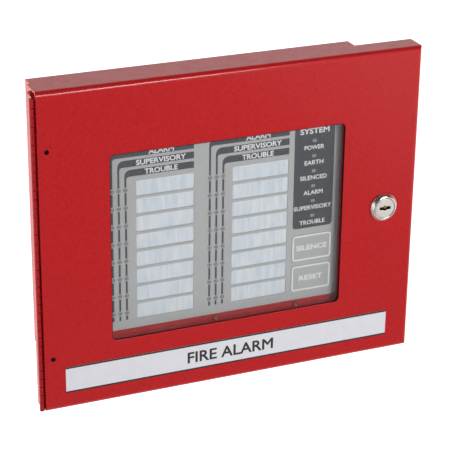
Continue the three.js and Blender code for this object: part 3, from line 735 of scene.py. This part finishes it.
def add_knuckles(skin, parity):
    """Every second knuckle: a short barrel whose radius eases in at both ends."""
    hinge = settings("hinge_settings")
    x, y, z0, z1 = hinge_axis()
    pitch = (z1 - z0) / hinge.knuckles
    r, bore = hinge.radius / MM, hinge.bore / MM
    soften, gap = hinge.soften / MM, hinge.gap / MM
    turn = np.linspace(0, QUARTER, 4)
    radius = np.concatenate([[bore], r - soften * (1 - np.sin(turn)),
                             r - soften * (1 - np.cos(turn)), [bore]])
    rise = np.concatenate([[0], soften * (1 - np.cos(turn)), -soften * (1 - np.sin(turn)), [0]])
    top = np.arange(len(radius)) >= len(radius) // 2
    angles = np.arange(28) * 2 * math.pi / 28
    for i in range(parity, hinge.knuckles, 2):
        low, high = z0 + i * pitch + gap, z0 + (i + 1) * pitch - gap
        level = np.where(top, high, low) + rise
        rings = np.stack([x + radius[:, None] * np.cos(angles), y + radius[:, None] * np.sin(angles),
                          np.repeat(level[:, None], len(angles), 1)], -1)
        skin.grid(np.concatenate([rings, rings[:1]]), wrap=True)


def add_strip(skin, plan, z0, z1):
    """A leaf's sheet: an outline in plan, carried straight up from z0 to z1 and closed at both ends."""
    rings = np.array([[(x, y, z) for x, y in plan] for z in (z0, z1)])
    skin.grid(rings, wrap=True)
    triangles = np.array(tessellate_polygon([[Vector((x, y, 0)) for x, y in plan]]))
    for ring in rings:
        skin.add(ring, triangles)


class ALARM_OT_hinge(bpy.types.Operator):
    """Rolls the hinge: rounded knuckles on a thin pin, alternately on the box leaf and the door leaf"""

    bl_idname = "alarm_panel.hinge"
    bl_label = "Hinge"

    def execute(self, context):
        hinge = settings("hinge_settings")
        x, y, z0, z1 = hinge_axis()
        r, t, stem_gap = hinge.radius / MM, hinge.leaf / MM, hinge.stem_gap / MM
        pitch = (z1 - z0) / hinge.knuckles
        for name, node, body, parity in (("hinge_outer_leaf", "hinge_box_leaf", "cabinet", 0),
                                         ("hinge_inner_leaf", "hinge_door_leaf", "door", 1)):
            skin = Skin()
            add_knuckles(skin, parity)
            low, high = box_mm(node)
            stems = [(z0 + i * pitch + stem_gap, z0 + (i + 1) * pitch - stem_gap)
                     for i in range(parity, hinge.knuckles, 2)]
            if parity == 0:
                begins, lap = y + 2.2, 0.2
                sheet = [(x + r - t, begins), (x + r, begins), (x + r, high[1]), (x + r - t, high[1])]
                stem = [(x + r - t, y), (x + r, y), (x + r, begins + lap), (x + r - t, begins + lap)]
            else:
                begins, joggle, lap, back = x + 3.6, 0.1, 0.8, y - r + t
                sheet = [(begins, y - r), (high[0], y - r), (high[0], back), (begins, back)]
                stem = [(x, y - t / 2), (begins - 1.2, y - t / 2), (begins + joggle, y - r),
                        (begins + lap, y - r), (begins + lap, back), (begins + joggle, back),
                        (begins - 0.9, y + t / 2), (x, y + t / 2)]
            add_strip(skin, sheet, low[2], high[2])
            for z_low, z_high in stems:
                add_strip(skin, stem, z_low, z_high)
            # Knuckles, stems and leaves take the darkened red, a painted shade.
            make_piece(name, skin, "hinge_red", body,
                       nodes=[node], sharp=35)
        return {"FINISHED"}


# ---- Lock ---------------------------------------------------------------------------------
# Each wafer in the keyway: its left edge from the lock's axis, its width, and how deep it lies.
WAFERS = ((-1.5, 1.1, 2.2), (-0.1, 1.0, 0.9), (1.2, 0.9, 1.6))


def keyway_outline(x, z, grow=0.0, steps=72):
    """A keyhole: at every angle, the farther edge of a long slot and of a round hole at its middle.

    The slot's edge along an angle is the nearer of half its length over the cosine and half its
    height over the sine.
    """
    lock = settings("lock_settings")
    half_length = lock.key_length / MM / 2 + grow
    half_height = lock.key_height / MM / 2 + grow
    angles = np.arange(steps) * 2 * math.pi / steps
    tiny = 1e-6
    ends = half_length / np.maximum(np.abs(np.cos(angles)), tiny)
    sides = half_height / np.maximum(np.abs(np.sin(angles)), tiny)
    reach = np.maximum(np.minimum(ends, sides), lock.key_middle / MM + grow)
    return np.array([x, z]) + reach[:, None] * np.stack([np.cos(angles), np.sin(angles)], 1)


class ALARM_OT_lock(bpy.types.Operator):
    """Turns the lock: a domed face ring, and the plug with its keyway and wafers"""

    bl_idname = "alarm_panel.lock"
    bl_label = "Lock"

    def execute(self, context):
        lock = settings("lock_settings")
        x, z = lock_centre()
        low, high = box_mm("lock_housing")
        plug_low, plug_high = box_mm("lock_plug")
        wide = (plug_high[0] - plug_low[0]) / 2
        self.add_ring(x, z, low[1], high[1], (high[0] - low[0]) / 2, wide + lock.play / MM, lock)
        self.add_plug(x, z, low[1] + lock.play / MM, plug_high[1], wide, lock.core / MM)
        return {"FINISHED"}

    def add_ring(self, x, z, front, back, head, rim, lock):
        """The housing's profile: up the bore, over the crown, down the flank, and in to the barrel."""
        lip, crown, seat = 0.25, lock.dome / MM, -0.12
        barrel = lock.barrel / MM
        profile = [(rim, back), (rim, front + 1.4), (rim, front + 0.3)]
        profile += arc(rim + lip, front + lip, lip, 180, 270, 3)
        profile += arc(head - 2.3, front + crown, crown, -90, -30, 9)
        profile += [(head - 0.3, -1.25)]
        profile += arc(head - 0.55, -0.85, 0.55, -40, 70, 5)
        profile += [(head - 0.9, seat), (barrel, seat), (barrel, back), (rim, back)]
        ring = Skin()
        add_turned(ring, x, z, profile, 72)
        make_piece("lock_face_ring", ring, "nickel", "door",
                   nodes=["lock_housing"], sharp=40)

    def add_plug(self, x, z, face, plug_back, wide, core):
        """The plug's wide face, its core and its square end; the keyway pierces face and core."""
        keyway = lambda g: keyway_outline(x, z, g)
        rear, core_end, half_square = face + 8.4, 12.4, 2.6
        plug = Skin()
        add_plate(plug, lambda g: circle(x, z, wide, g, 64), [keyway], face, face + 1.1, 0.22)
        add_plate(plug, lambda g: circle(x, z, core, g, 48), [keyway], face + 1.05, rear + 0.1, 0.1)
        add_turned(plug, x, z, [(0, rear), (core, rear), (core, core_end), (0, core_end)], 48)
        square = lambda g: rounded_rectangle(x - half_square, x + half_square, z - half_square,
                                             z + half_square, 0.3, g, 2)
        screw_hole = lambda g: circle(x, z, 1.2, g, 12)
        add_plate(plug, square, [screw_hole], core_end - 0.1, plug_back, 0.1)
        make_piece("lock_core", plug, "plug_face", "lock_plug",
                   nodes=["lock_plug"], sharp=35)
        self.fill_keyway(x, z, face)

    def fill_keyway(self, x, z, face):
        """Brass wafers, and the bore that they stand in, lined black as painted shade, all sunk behind the
        plug's face.
        """
        half, shallow, deep, gap = 0.85, 0.3, 6.0, -0.03
        wafers = Skin()
        for left, width, sunk in WAFERS:
            wafer = lambda g: rounded_rectangle(x + left, x + left + width, z - half, z + half, 0.3, g, 3)
            add_plate(wafers, wafer, [], face + sunk, face + deep - 0.1, 0.2)
        make_piece("lock_wafers", wafers, "brass", "lock_plug", sharp=35)
        # The bore's black lining is painted shade inside the keyway.
        bore = Skin()
        wall = keyway_outline(x, z, gap)
        bore.grid(np.stack([at_depth(wall, face + shallow), at_depth(wall, face + deep)]), wrap=True)
        bore.cap([wall], face + deep)
        make_piece("lock_keyway_painted_shade_lining", bore, "rubber", "lock_plug", sharp=35)


# ---- Indicator module ---------------------------------------------------------------------
# The label cards: two columns of windows, counted down from the top edge of the highest.
CARD = {"width": 42.3, "height": 11.1, "pitch": 13.12, "rows": 8, "top": 159.2, "columns": (69.9, 140.6)}
# Three lines of lamps left of each column: the first line's x, and how far apart the lines are.
ZONE_LAMPS = {"columns": (52.65, 123.8), "spread": 4.95}
# The dark system column: its edges, its lamps' x, the lowest lamp's z and the lamps' pitch.
SYSTEM = {"x0": 187.2, "x1": 217.9, "z0": 104.9, "z1": 191.0, "lamp_x": 202.4, "lowest": 113.9,
          "pitch": 11.32}
# The system column's words and their widths, from the lowest up.
SYSTEM_WORDS = (("TROUBLE", 19.7), ("SUPERVISORY", 29.4), ("ALARM", 15.0), ("SILENCED", 20.7),
                ("EARTH", 14.5), ("POWER", 15.3))
# A lamp's window: how far each lobe's middle is from the lamp's, and half its width and height.
ZONE_LOBE = (0.66, 0.46, 0.75)
SYSTEM_LOBE = (0.8, 0.62, 1.15)
# The heading bands: the word, the band's foot, and which line of lamps it turns down into.
BANDS = (("TROUBLE", 163.0, 2), ("SUPERVISORY", 170.0, 1), ("ALARM", 177.0, 0))
BAND_WIDTHS = {"TROUBLE": 23.9, "SUPERVISORY": 36.0, "ALARM": 18.3}


TEXT_SIZE = 10.0
CAPITAL_SHARE = 0.7
INK_HEIGHT = 0.04


def text_mesh(words, bold):
    """Plain capitals as points and faces; bold is the width of the slope round every stroke."""
    curve = bpy.data.curves.new("words", "FONT")
    curve.body = words
    curve.size = TEXT_SIZE
    curve.extrude = 0.1
    curve.bevel_depth = bold
    curve.bevel_resolution = 0
    curve.resolution_u = 3
    text = bpy.data.objects.new("words", curve)
    bpy.context.scene.collection.objects.link(text)
    bpy.context.view_layer.update()
    mesh = text.evaluated_get(bpy.context.evaluated_depsgraph_get()).to_mesh()
    points = np.empty(len(mesh.vertices) * 3)
    mesh.vertices.foreach_get("co", points)
    faces = [list(face.vertices) for face in mesh.polygons]
    bpy.data.objects.remove(text)
    bpy.data.curves.remove(curve)
    return points.reshape(-1, 3), faces


def lettering(name, words, size, place, key, body, bold):
    """Capitals that face the front and fill a width and a height round a place.

    Bold is in millimetres. The strokes slope down round their edges, pressed almost flat.
    """
    x, y, z = place
    width, height = size
    points, faces = text_mesh(words, bold * TEXT_SIZE * CAPITAL_SHARE / height)
    if not faces:
        raise RuntimeError("no outline for " + words)
    along, up, out = points.T
    along = (along - (along.min() + along.max()) / 2) * width / np.ptp(along)
    up = (up - (up.min() + up.max()) / 2) * height / np.ptp(up)
    raised = out / np.ptp(out) * INK_HEIGHT
    mesh = bpy.data.meshes.new(name)
    mesh.from_pydata(placed(np.stack([x + along, y - INK_HEIGHT / 2 - raised, z + up], 1)), [], faces)
    mesh.shade_flat()
    hand_over(name, mesh, key, body)


def card_rows():
    """The top of each row of cards."""
    return [CARD["top"] - i * CARD["pitch"] for i in range(CARD["rows"])]


def card_outline(left, top, grow=0.0):
    """One card's window, from its left and top edges."""
    return rounded_rectangle(left, left + CARD["width"], top - CARD["height"], top, 1.2, grow, 4)


def key_outline(node, grow=0.0):
    """A push key's edge, with rounded corners."""
    low, high = box_mm(node)
    return rounded_rectangle(low[0], high[0], low[2], high[2], 2.4, grow, 6)


class ALARM_OT_overlay(bpy.types.Operator):
    """Cuts the overlay film, with rounded windows for the cards and openings for the keys"""

    bl_idname = "alarm_panel.overlay"
    bl_label = "Overlay film"

    def execute(self, context):
        low, high = box_mm("membrane_overlay")
        outer = lambda g: rounded_rectangle(low[0], high[0], low[2], high[2], 2.0, g)
        holes = [lambda g, left=left, top=top: card_outline(left, top, g)
                 for left in CARD["columns"] for top in card_rows()]
        gap = 0.25
        holes += [lambda g, node=node: key_outline(node, gap + g) for node in ("silence_key", "reset_key")]
        skin = Skin()
        add_plate(skin, outer, holes, low[1], high[1], 0.08, steps=2)
        make_piece("overlay_film", skin, "film", "cabinet",
                   nodes=["membrane_overlay"], sharp=50)
        return {"FINISHED"}


class ALARM_OT_cards(bpy.types.Operator):
    """Fills the overlay's windows with label cards under slightly bulged clear film"""

    bl_idname = "alarm_panel.cards"
    bl_label = "Zone cards"

    def execute(self, context):
        for side, left in zip(("left", "right"), CARD["columns"]):
            node = "zone_card_" + side
            low, high = box_mm(node)
            skin = Skin()
            inset = np.array([0.1, 0.1, 0.35, 0.8, 1.6, 2.6])
            bulge = [0.25, 0.1, 0.04, 0.01, 0.0]
            level = np.array([high[1], *(low[1] + sunk for sunk in bulge)])
            for top in card_rows():
                rings = np.stack([at_depth(card_outline(left, top, -d), y) for d, y in zip(inset, level)])
                skin.grid(rings, wrap=True)
                skin.cap([card_outline(left, top, -inset[-1])], level[-1])
                skin.cap([card_outline(left, top, -inset[0])], level[0])
            make_piece(node + "_windows", skin, "card", "cabinet",
                       nodes=[node])
        return {"FINISHED"}


class ALARM_OT_printing(bpy.types.Operator):
    """Prints the overlay: heading bands that turn down into lamp lines, words and lamp windows"""

    bl_idname = "alarm_panel.printing"
    bl_label = "Printing"

    def execute(self, context):
        module = settings("module_settings")
        self.y = box_mm("membrane_overlay")[0][1]
        self.ink = module.ink / MM
        dark, lamps = Skin(), Skin()
        ground, lamp_front = 0.36, self.y - self.ink - 0.02
        for left in ZONE_LAMPS["columns"]:
            for _, base, step in BANDS:
                self.add_band(dark, left, base, step, module)
            for step in range(len(BANDS)):
                x = left + step * ZONE_LAMPS["spread"]
                for top in card_rows():
                    z = top - CARD["height"] / 2
                    self.add_lamp(dark, x, z, ZONE_LOBE, ground, self.y - self.ink)
                    self.add_lamp(lamps, x, z, ZONE_LOBE, 0.0, lamp_front)
        s = SYSTEM
        panel = lambda g: rounded_rectangle(s["x0"], s["x1"], s["z0"], s["z1"], 2.6, g, 6)
        add_plate(dark, panel, [], self.y - self.ink, self.y + 0.01, 0.01, steps=1)
        make_piece("overlay_dark_print", dark, "dark_ink", "cabinet",
                   sharp=30)
        for i in range(len(SYSTEM_WORDS)):
            self.add_lamp(lamps, s["lamp_x"], s["lowest"] + i * s["pitch"], SYSTEM_LOBE, 0.0, lamp_front)
        make_piece("overlay_lamp_windows", lamps, "lamp", "cabinet",
                   sharp=30)
        self.add_words()
        return {"FINISHED"}

    def add_band(self, skin, left, base, step, module):
        """One band and its line: a bar that runs right, and turns down at its left end.

        The outline goes along the bar's foot, up its right end, back along its top, round the outer
        corner and down the line, then up the line's other side and round the inner corner.
        """
        width, high = module.line / MM, module.lead / MM
        band_length, outer_turn, inner_turn = 59.3, 4.6, 1.9
        beside_lamp, tail = 1.9, 5.3
        x = left + step * ZONE_LAMPS["spread"]
        right = left + band_length
        top = base + high
        first = card_rows()[0] - CARD["height"] / 2 + beside_lamp
        outer = arc(x - width / 2 + outer_turn, top - outer_turn, outer_turn, 90, 180, 8)
        inner = arc(x + width / 2 + inner_turn, base - inner_turn, inner_turn, 180, 90, 6)
        foot = [(x - width / 2, first), (x + width / 2, first)]
        loop = np.array([(right, base), (right, top), *outer, *foot, *inner])
        y0, y1 = self.y - self.ink, self.y + 0.01
        skin.cap([loop], y0)
        skin.cap([loop], y1)
        skin.grid(np.stack([at_depth(loop, y0), at_depth(loop, y1)]), wrap=True)
        rows = card_rows()
        for row, top_of_card in enumerate(rows):
            centre = top_of_card - CARD["height"] / 2
            high_end = centre - beside_lamp
            low_end = centre - CARD["pitch"] + beside_lamp if row < len(rows) - 1 else centre - tail
            bar = lambda g: rounded_rectangle(x - width / 2, x + width / 2, low_end, high_end, 0.1, g, 1)
            add_plate(skin, bar, [], y0, y1, 0.01, steps=1)

    def add_lamp(self, skin, x, z, lobe, grow, y0):
        """A lamp's small window, or the dark ground round it: two round-ended lobes side by side."""
        apart, half_width, half_height = lobe
        for middle in (x - apart, x + apart):
            outline = lambda g: rounded_rectangle(middle - half_width, middle + half_width,
                                                  z - half_height, z + half_height, 0.3, grow + g, 3)
            add_plate(skin, outline, [], y0, self.y + 0.01, 0.02, steps=1)

    def add_words(self):
        """The bands' words, the system column's heading, and a word below each of its lamps."""
        half_band = settings("module_settings").lead / MM / 2
        heading, small, along_band, below_lamp = 3.85, 3.3, 35.6, 4.85
        number = 0
        for left in ZONE_LAMPS["columns"]:
            for word, base, _ in BANDS:
                number += 1
                self.print_word(f"heading_{number}_{word.lower()}", word, (BAND_WIDTHS[word], heading),
                                left + along_band, base + half_band, 0.15)
        self.print_word("heading_system", "SYSTEM", (22.3, 4.2), SYSTEM["lamp_x"], 177.9, 0.15)
        for i, (word, width) in enumerate(SYSTEM_WORDS):
            z = SYSTEM["lowest"] + i * SYSTEM["pitch"] - below_lamp
            self.print_word("system_" + word.lower(), word, (width, small), SYSTEM["lamp_x"], z, 0.1)

    def print_word(self, name, word, size, x, z, bold):
        """One word in pale ink, on the front of the dark print."""
        lettering(name, word, size, (x, self.y - self.ink, z), "light_ink", "cabinet",
                  bold=bold)


class ALARM_OT_keys(bpy.types.Operator):
    """Embosses the two push keys, with their printed outlines and words"""

    bl_idname = "alarm_panel.keys"
    bl_label = "Push keys"

    def execute(self, context):
        for node, word, width in (("silence_key", "SILENCE", 24.2), ("reset_key", "RESET", 18.4)):
            low, high = box_mm(node)
            skin = Skin()
            inset = np.array([0.25, 0.0, 0.0, 0.12, 0.5, 2.0, 3.0])
            level = low[1] + np.array([0.8, 0.7, 0.25, 0.1, 0.03, 0.0, 0.0])
            rings = np.stack([at_depth(key_outline(node, -d), y) for d, y in zip(inset, level)])
            skin.grid(rings, wrap=True)
            skin.cap([key_outline(node, -inset[0])], level[0])
            skin.cap([key_outline(node, -inset[-1])], level[-1])
            x, z = (low[0] + high[0]) / 2, (low[2] + high[2]) / 2
            half = 2.0
            stem = lambda g: rounded_rectangle(x - half, x + half, z - half, z + half, 0.5, g, 2)
            add_plate(skin, stem, [], low[1] + 0.75, high[1], 0.1)
            make_piece(node + "_pad", skin, "film", node, nodes=[node],
                       sharp=60)
            outline = Skin()
            outer = lambda g: key_outline(node, -0.1 + g)
            inner = lambda g: key_outline(node, -1.4 + g)
            add_plate(outline, outer, [inner], low[1] - 0.03, low[1] + 0.3, 0.02, steps=1)
            make_piece(node + "_outline", outline, "light_ink", node,
                       sharp=40)
            lettering(node + "_word", word, (width, 4.0), (x, low[1] - 0.01, z), "light_ink", node,
                      bold=0.16)
        return {"FINISHED"}


# ---- Screws -------------------------------------------------------------------------------
SLOT_TURN = math.radians(118)
SLOT_HALF_SIZE = (1.75, 0.5)


def turned_slot(x, z, half_length, half_width, turn, grow=0.0):
    """A round-ended slot turned about its middle."""
    loop = rounded_rectangle(-half_length, half_length, -half_width, half_width, half_width * 0.9, grow, 4)
    cosine, sine = math.cos(turn), math.sin(turn)
    return np.array([x, z]) + loop @ np.array([[cosine, sine], [-sine, cosine]])


class ALARM_OT_screws(bpy.types.Operator):
    """Turns the panel screws: slotted heads under the panel's red coat, worn bright in the slot"""

    bl_idname = "alarm_panel.screws"
    bl_label = "Panel screws"

    def execute(self, context):
        nodes = [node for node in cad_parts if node.startswith("panel_screw_")]
        heads, slots = Skin(), Skin()
        for node in nodes:
            low, high = box_mm(node)
            x, z = (low[0] + high[0]) / 2, (low[2] + high[2]) / 2
            radius = (high[0] - low[0]) / 2
            slot = lambda g: turned_slot(x, z, *SLOT_HALF_SIZE, SLOT_TURN, g)
            rim = lambda g: circle(x, z, radius, g, 40)
            add_plate(heads, rim, [slot], low[1], low[1] + 1.5, 0.35, back_edge=0.1)
            neck, shank = low[1] + 1.3, 1.6
            add_turned(heads, x, z, [(0, neck), (shank, neck), (shank, high[1]), (0, high[1])], 32)
            add_plate(slots, slot, [], low[1] + 0.03, low[1] + 1.4, 0.3)
        make_piece("panel_screw_heads", heads, "red", "cabinet",
                   nodes=nodes, sharp=50)
        make_piece("panel_screw_slots", slots, "plug_face", "cabinet",
                   sharp=80)
        return {"FINISHED"}


# ---- Finishes of the CAD nodes that stay ------------------------------------------------------
class ALARM_OT_finishes(bpy.types.Operator):
    """Paints, plates and colours every CAD piece that stays visible"""

    bl_idname = "alarm_panel.finishes"
    bl_label = "Finishes"

    def execute(self, context):
        groups = {
            "red": ["back_box", "inner_panel", "lens_retainer"],
            "rubber": ["entry_grommet"],
            # The pin takes the hinge's darkened red, a painted shade.
            "hinge_red": ["hinge_pin"],
            "zinc": ["lock_striker", "lock_nut", "lock_cam", "cam_screw"],
            "brass": ["earth_stud", "earth_nut"],
            "milky": ["light_guide_left", "light_guide_right", "light_guide_system"],
            "board": ["circuit_board"],
            "green": ["terminal_block_power", "terminal_block_data"],
            "black": ["controller_chip", "lamp_driver_left", "lamp_driver_right", "sounder",
                      "silence_switch", "reset_switch"],
            "blue": ["address_switch"],
            "clear": ["window_lens"],
        }
        for key, nodes in groups.items():
            refinish(key, *nodes)
        prefixes = {"zinc": ("pillar_", "lens_nut_"), "nylon": ("board_spacer_",)}
        for key, starts in prefixes.items():
            refinish(key, *[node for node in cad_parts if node.startswith(starts)])
        return {"FINISHED"}


# ---- Stage --------------------------------------------------------------------------------
class ALARM_OT_stage(bpy.types.Operator):
    """Sets the pale floor, the soft lights and the camera"""

    bl_idname = "alarm_panel.stage"
    bl_label = "Stage"

    def execute(self, context):
        stage = settings("stage_settings")
        self.add_floor(stage)
        self.add_world(stage)
        self.add_lights(stage)
        self.add_camera(stage)
        bpy.context.scene.view_settings.view_transform = "Standard"
        return {"FINISHED"}

    def add_floor(self, stage):
        """A wide flat floor of white paper that glows more brightly behind the panel and beside it."""
        half = 15.0
        z = DOOR_LOW[2] - stage.floor
        mesh = bpy.data.meshes.new("floor")
        corners = [(-half, -half, z), (half, -half, z), (half, half, z), (-half, half, z)]
        mesh.from_pydata(corners, [], [(0, 1, 2, 3)])
        floor = bpy.data.objects.new("floor", mesh)
        bpy.context.scene.collection.objects.link(floor)
        paper, tree, surface, coords = new_material("matt_white_paper", Roughness=0.9,
                                                    Specular_IOR_Level=0.1)
        mottled(tree, surface, spread_between(tree, grain(tree, coords, 0.4), 0.7, 1), "paper")
        part = add_node(tree, "ShaderNodeSeparateXYZ", Vector=coords)
        nearest, farthest = -0.6, 0.7
        inside, outside, side_share = 0.72, 1.1, 0.8
        behind = spread_between(tree, part.outputs["Y"], 0, 1, nearest, farthest)
        sideways = sum_up(tree, "ABSOLUTE", part.outputs["X"])
        beside = spread_between(tree, sideways, 0, side_share, inside, outside)
        either = sum_up(tree, "MAXIMUM", behind, beside)
        glow = spread_between(tree, either, stage.front_glow, stage.back_glow, 0, 1)
        surface.inputs["Emission Color"].default_value = (1, 1, 1, 1)
        tree.links.new(glow, surface.inputs["Emission Strength"])
        mesh.materials.append(paper)

    def add_world(self, stage):
        """Air that is bright behind the panel and near the horizon, and dim in front and overhead."""
        world = bpy.data.worlds.new("studio_air")
        bpy.context.scene.world = world
        world.use_nodes = True
        tree = world.node_tree
        toward = add_node(tree, "ShaderNodeTexCoord").outputs["Generated"]
        part = add_node(tree, "ShaderNodeSeparateXYZ", Vector=toward)
        overhead = 0.12
        behind = spread_between(tree, part.outputs["Y"], 0, 1, -0.1, 0.55)
        beside = spread_between(tree, sum_up(tree, "ABSOLUTE", part.outputs["X"]), 0, 1, 0.8, 0.97)
        low = spread_between(tree, part.outputs["Z"], 1, overhead, 0.1, 0.75)
        bright = sum_up(tree, "MULTIPLY", sum_up(tree, "MAXIMUM", behind, beside), low)
        light = sum_up(tree, "MULTIPLY_ADD", bright, stage.air_behind, stage.air_front)
        seen = add_node(tree, "ShaderNodeLightPath").outputs["Is Camera Ray"]
        background = tree.nodes["Background"]
        background.inputs["Color"].default_value = (1, 1, 1, 1)
        tree.links.new(sum_up(tree, "MAXIMUM", light, seen), background.inputs["Strength"])

    def add_lights(self, stage):
        """Soft boxes: their place, width, height and power; all of them face the panel."""
        boxes = {
            "key_box": ((0.68, -1.75, 0.7), 0.95, 0.6, stage.key),
            "left_box": ((-1.1, 0.75, 0.15), 0.7, 0.9, stage.left),
        }
        for name, (place, width, height, power) in boxes.items():
            light = bpy.data.lights.new(name, "AREA")
            light.shape = "RECTANGLE"
            light.size, light.size_y = width, height
            light.energy = power
            light.spread = math.radians(60)
            lamp = bpy.data.objects.new(name, light)
            bpy.context.scene.collection.objects.link(lamp)
            lamp.location = place
            lamp.rotation_euler = (-Vector(place)).to_track_quat("-Z", "Y").to_euler()
            lamp.visible_camera = False

    def add_camera(self, stage):
        """The camera stands back from its aim along the view's azimuth and elevation."""
        camera = bpy.data.objects.new("camera", bpy.data.cameras.new("camera"))
        bpy.context.scene.collection.objects.link(camera)
        camera.data.lens = stage.lens
        camera.data.sensor_width = 36
        turn = Matrix.Rotation(stage.azimuth, 4, "Z") @ Matrix.Rotation(QUARTER - stage.elevation, 4, "X")
        turn = turn @ Matrix.Rotation(stage.roll, 4, "Z")
        middle = (DOOR_LOW + DOOR_HIGH) / 2
        aim = Vector((middle.x - stage.aim_left, DOOR_LOW.y, middle.z + stage.aim_up))
        camera.matrix_world = Matrix.Translation(aim) @ turn @ Matrix.Translation((0, 0, stage.distance))
        bpy.context.scene.camera = camera


# ---- Registration -------------------------------------------------------------------------
SETTINGS = {"finish_settings": FinishSettings, "door_settings": DoorSettings,
            "label_settings": LabelSettings, "hinge_settings": HingeSettings,
            "lock_settings": LockSettings, "module_settings": ModuleSettings,
            "stage_settings": StageSettings}
OPERATORS = (ALARM_OT_stage, ALARM_OT_door, ALARM_OT_label, ALARM_OT_hinge, ALARM_OT_lock, ALARM_OT_overlay,
             ALARM_OT_cards, ALARM_OT_printing, ALARM_OT_keys, ALARM_OT_screws, ALARM_OT_finishes)


class ALARM_PT_panel(bpy.types.Panel):
    """Lists the panel's operators in the sidebar"""

    bl_label = "Alarm panel"
    bl_space_type = "VIEW_3D"
    bl_region_type = "UI"
    bl_category = "Alarm panel"

    def draw(self, context):
        """One button for each operator."""
        for operator in OPERATORS:
            self.layout.operator(operator.bl_idname)


def register():
    """Adds the settings, the operators and the sidebar panel."""
    for group in (*SETTINGS.values(), *OPERATORS, ALARM_PT_panel):
        bpy.utils.register_class(group)
    for name, group in SETTINGS.items():
        setattr(bpy.types.Scene, name, bpy.props.PointerProperty(type=group))


def unregister():
    """Takes away what register added."""
    for name in SETTINGS:
        delattr(bpy.types.Scene, name)
    for group in (ALARM_PT_panel, *reversed(OPERATORS), *SETTINGS.values()):
        bpy.utils.unregister_class(group)


def main():
    """Builds every piece in order."""
    register()
    for operator in OPERATORS:
        group, action = operator.bl_idname.split(".")
        getattr(getattr(bpy.ops, group), action)()


if __name__ == "__main__":
    main()
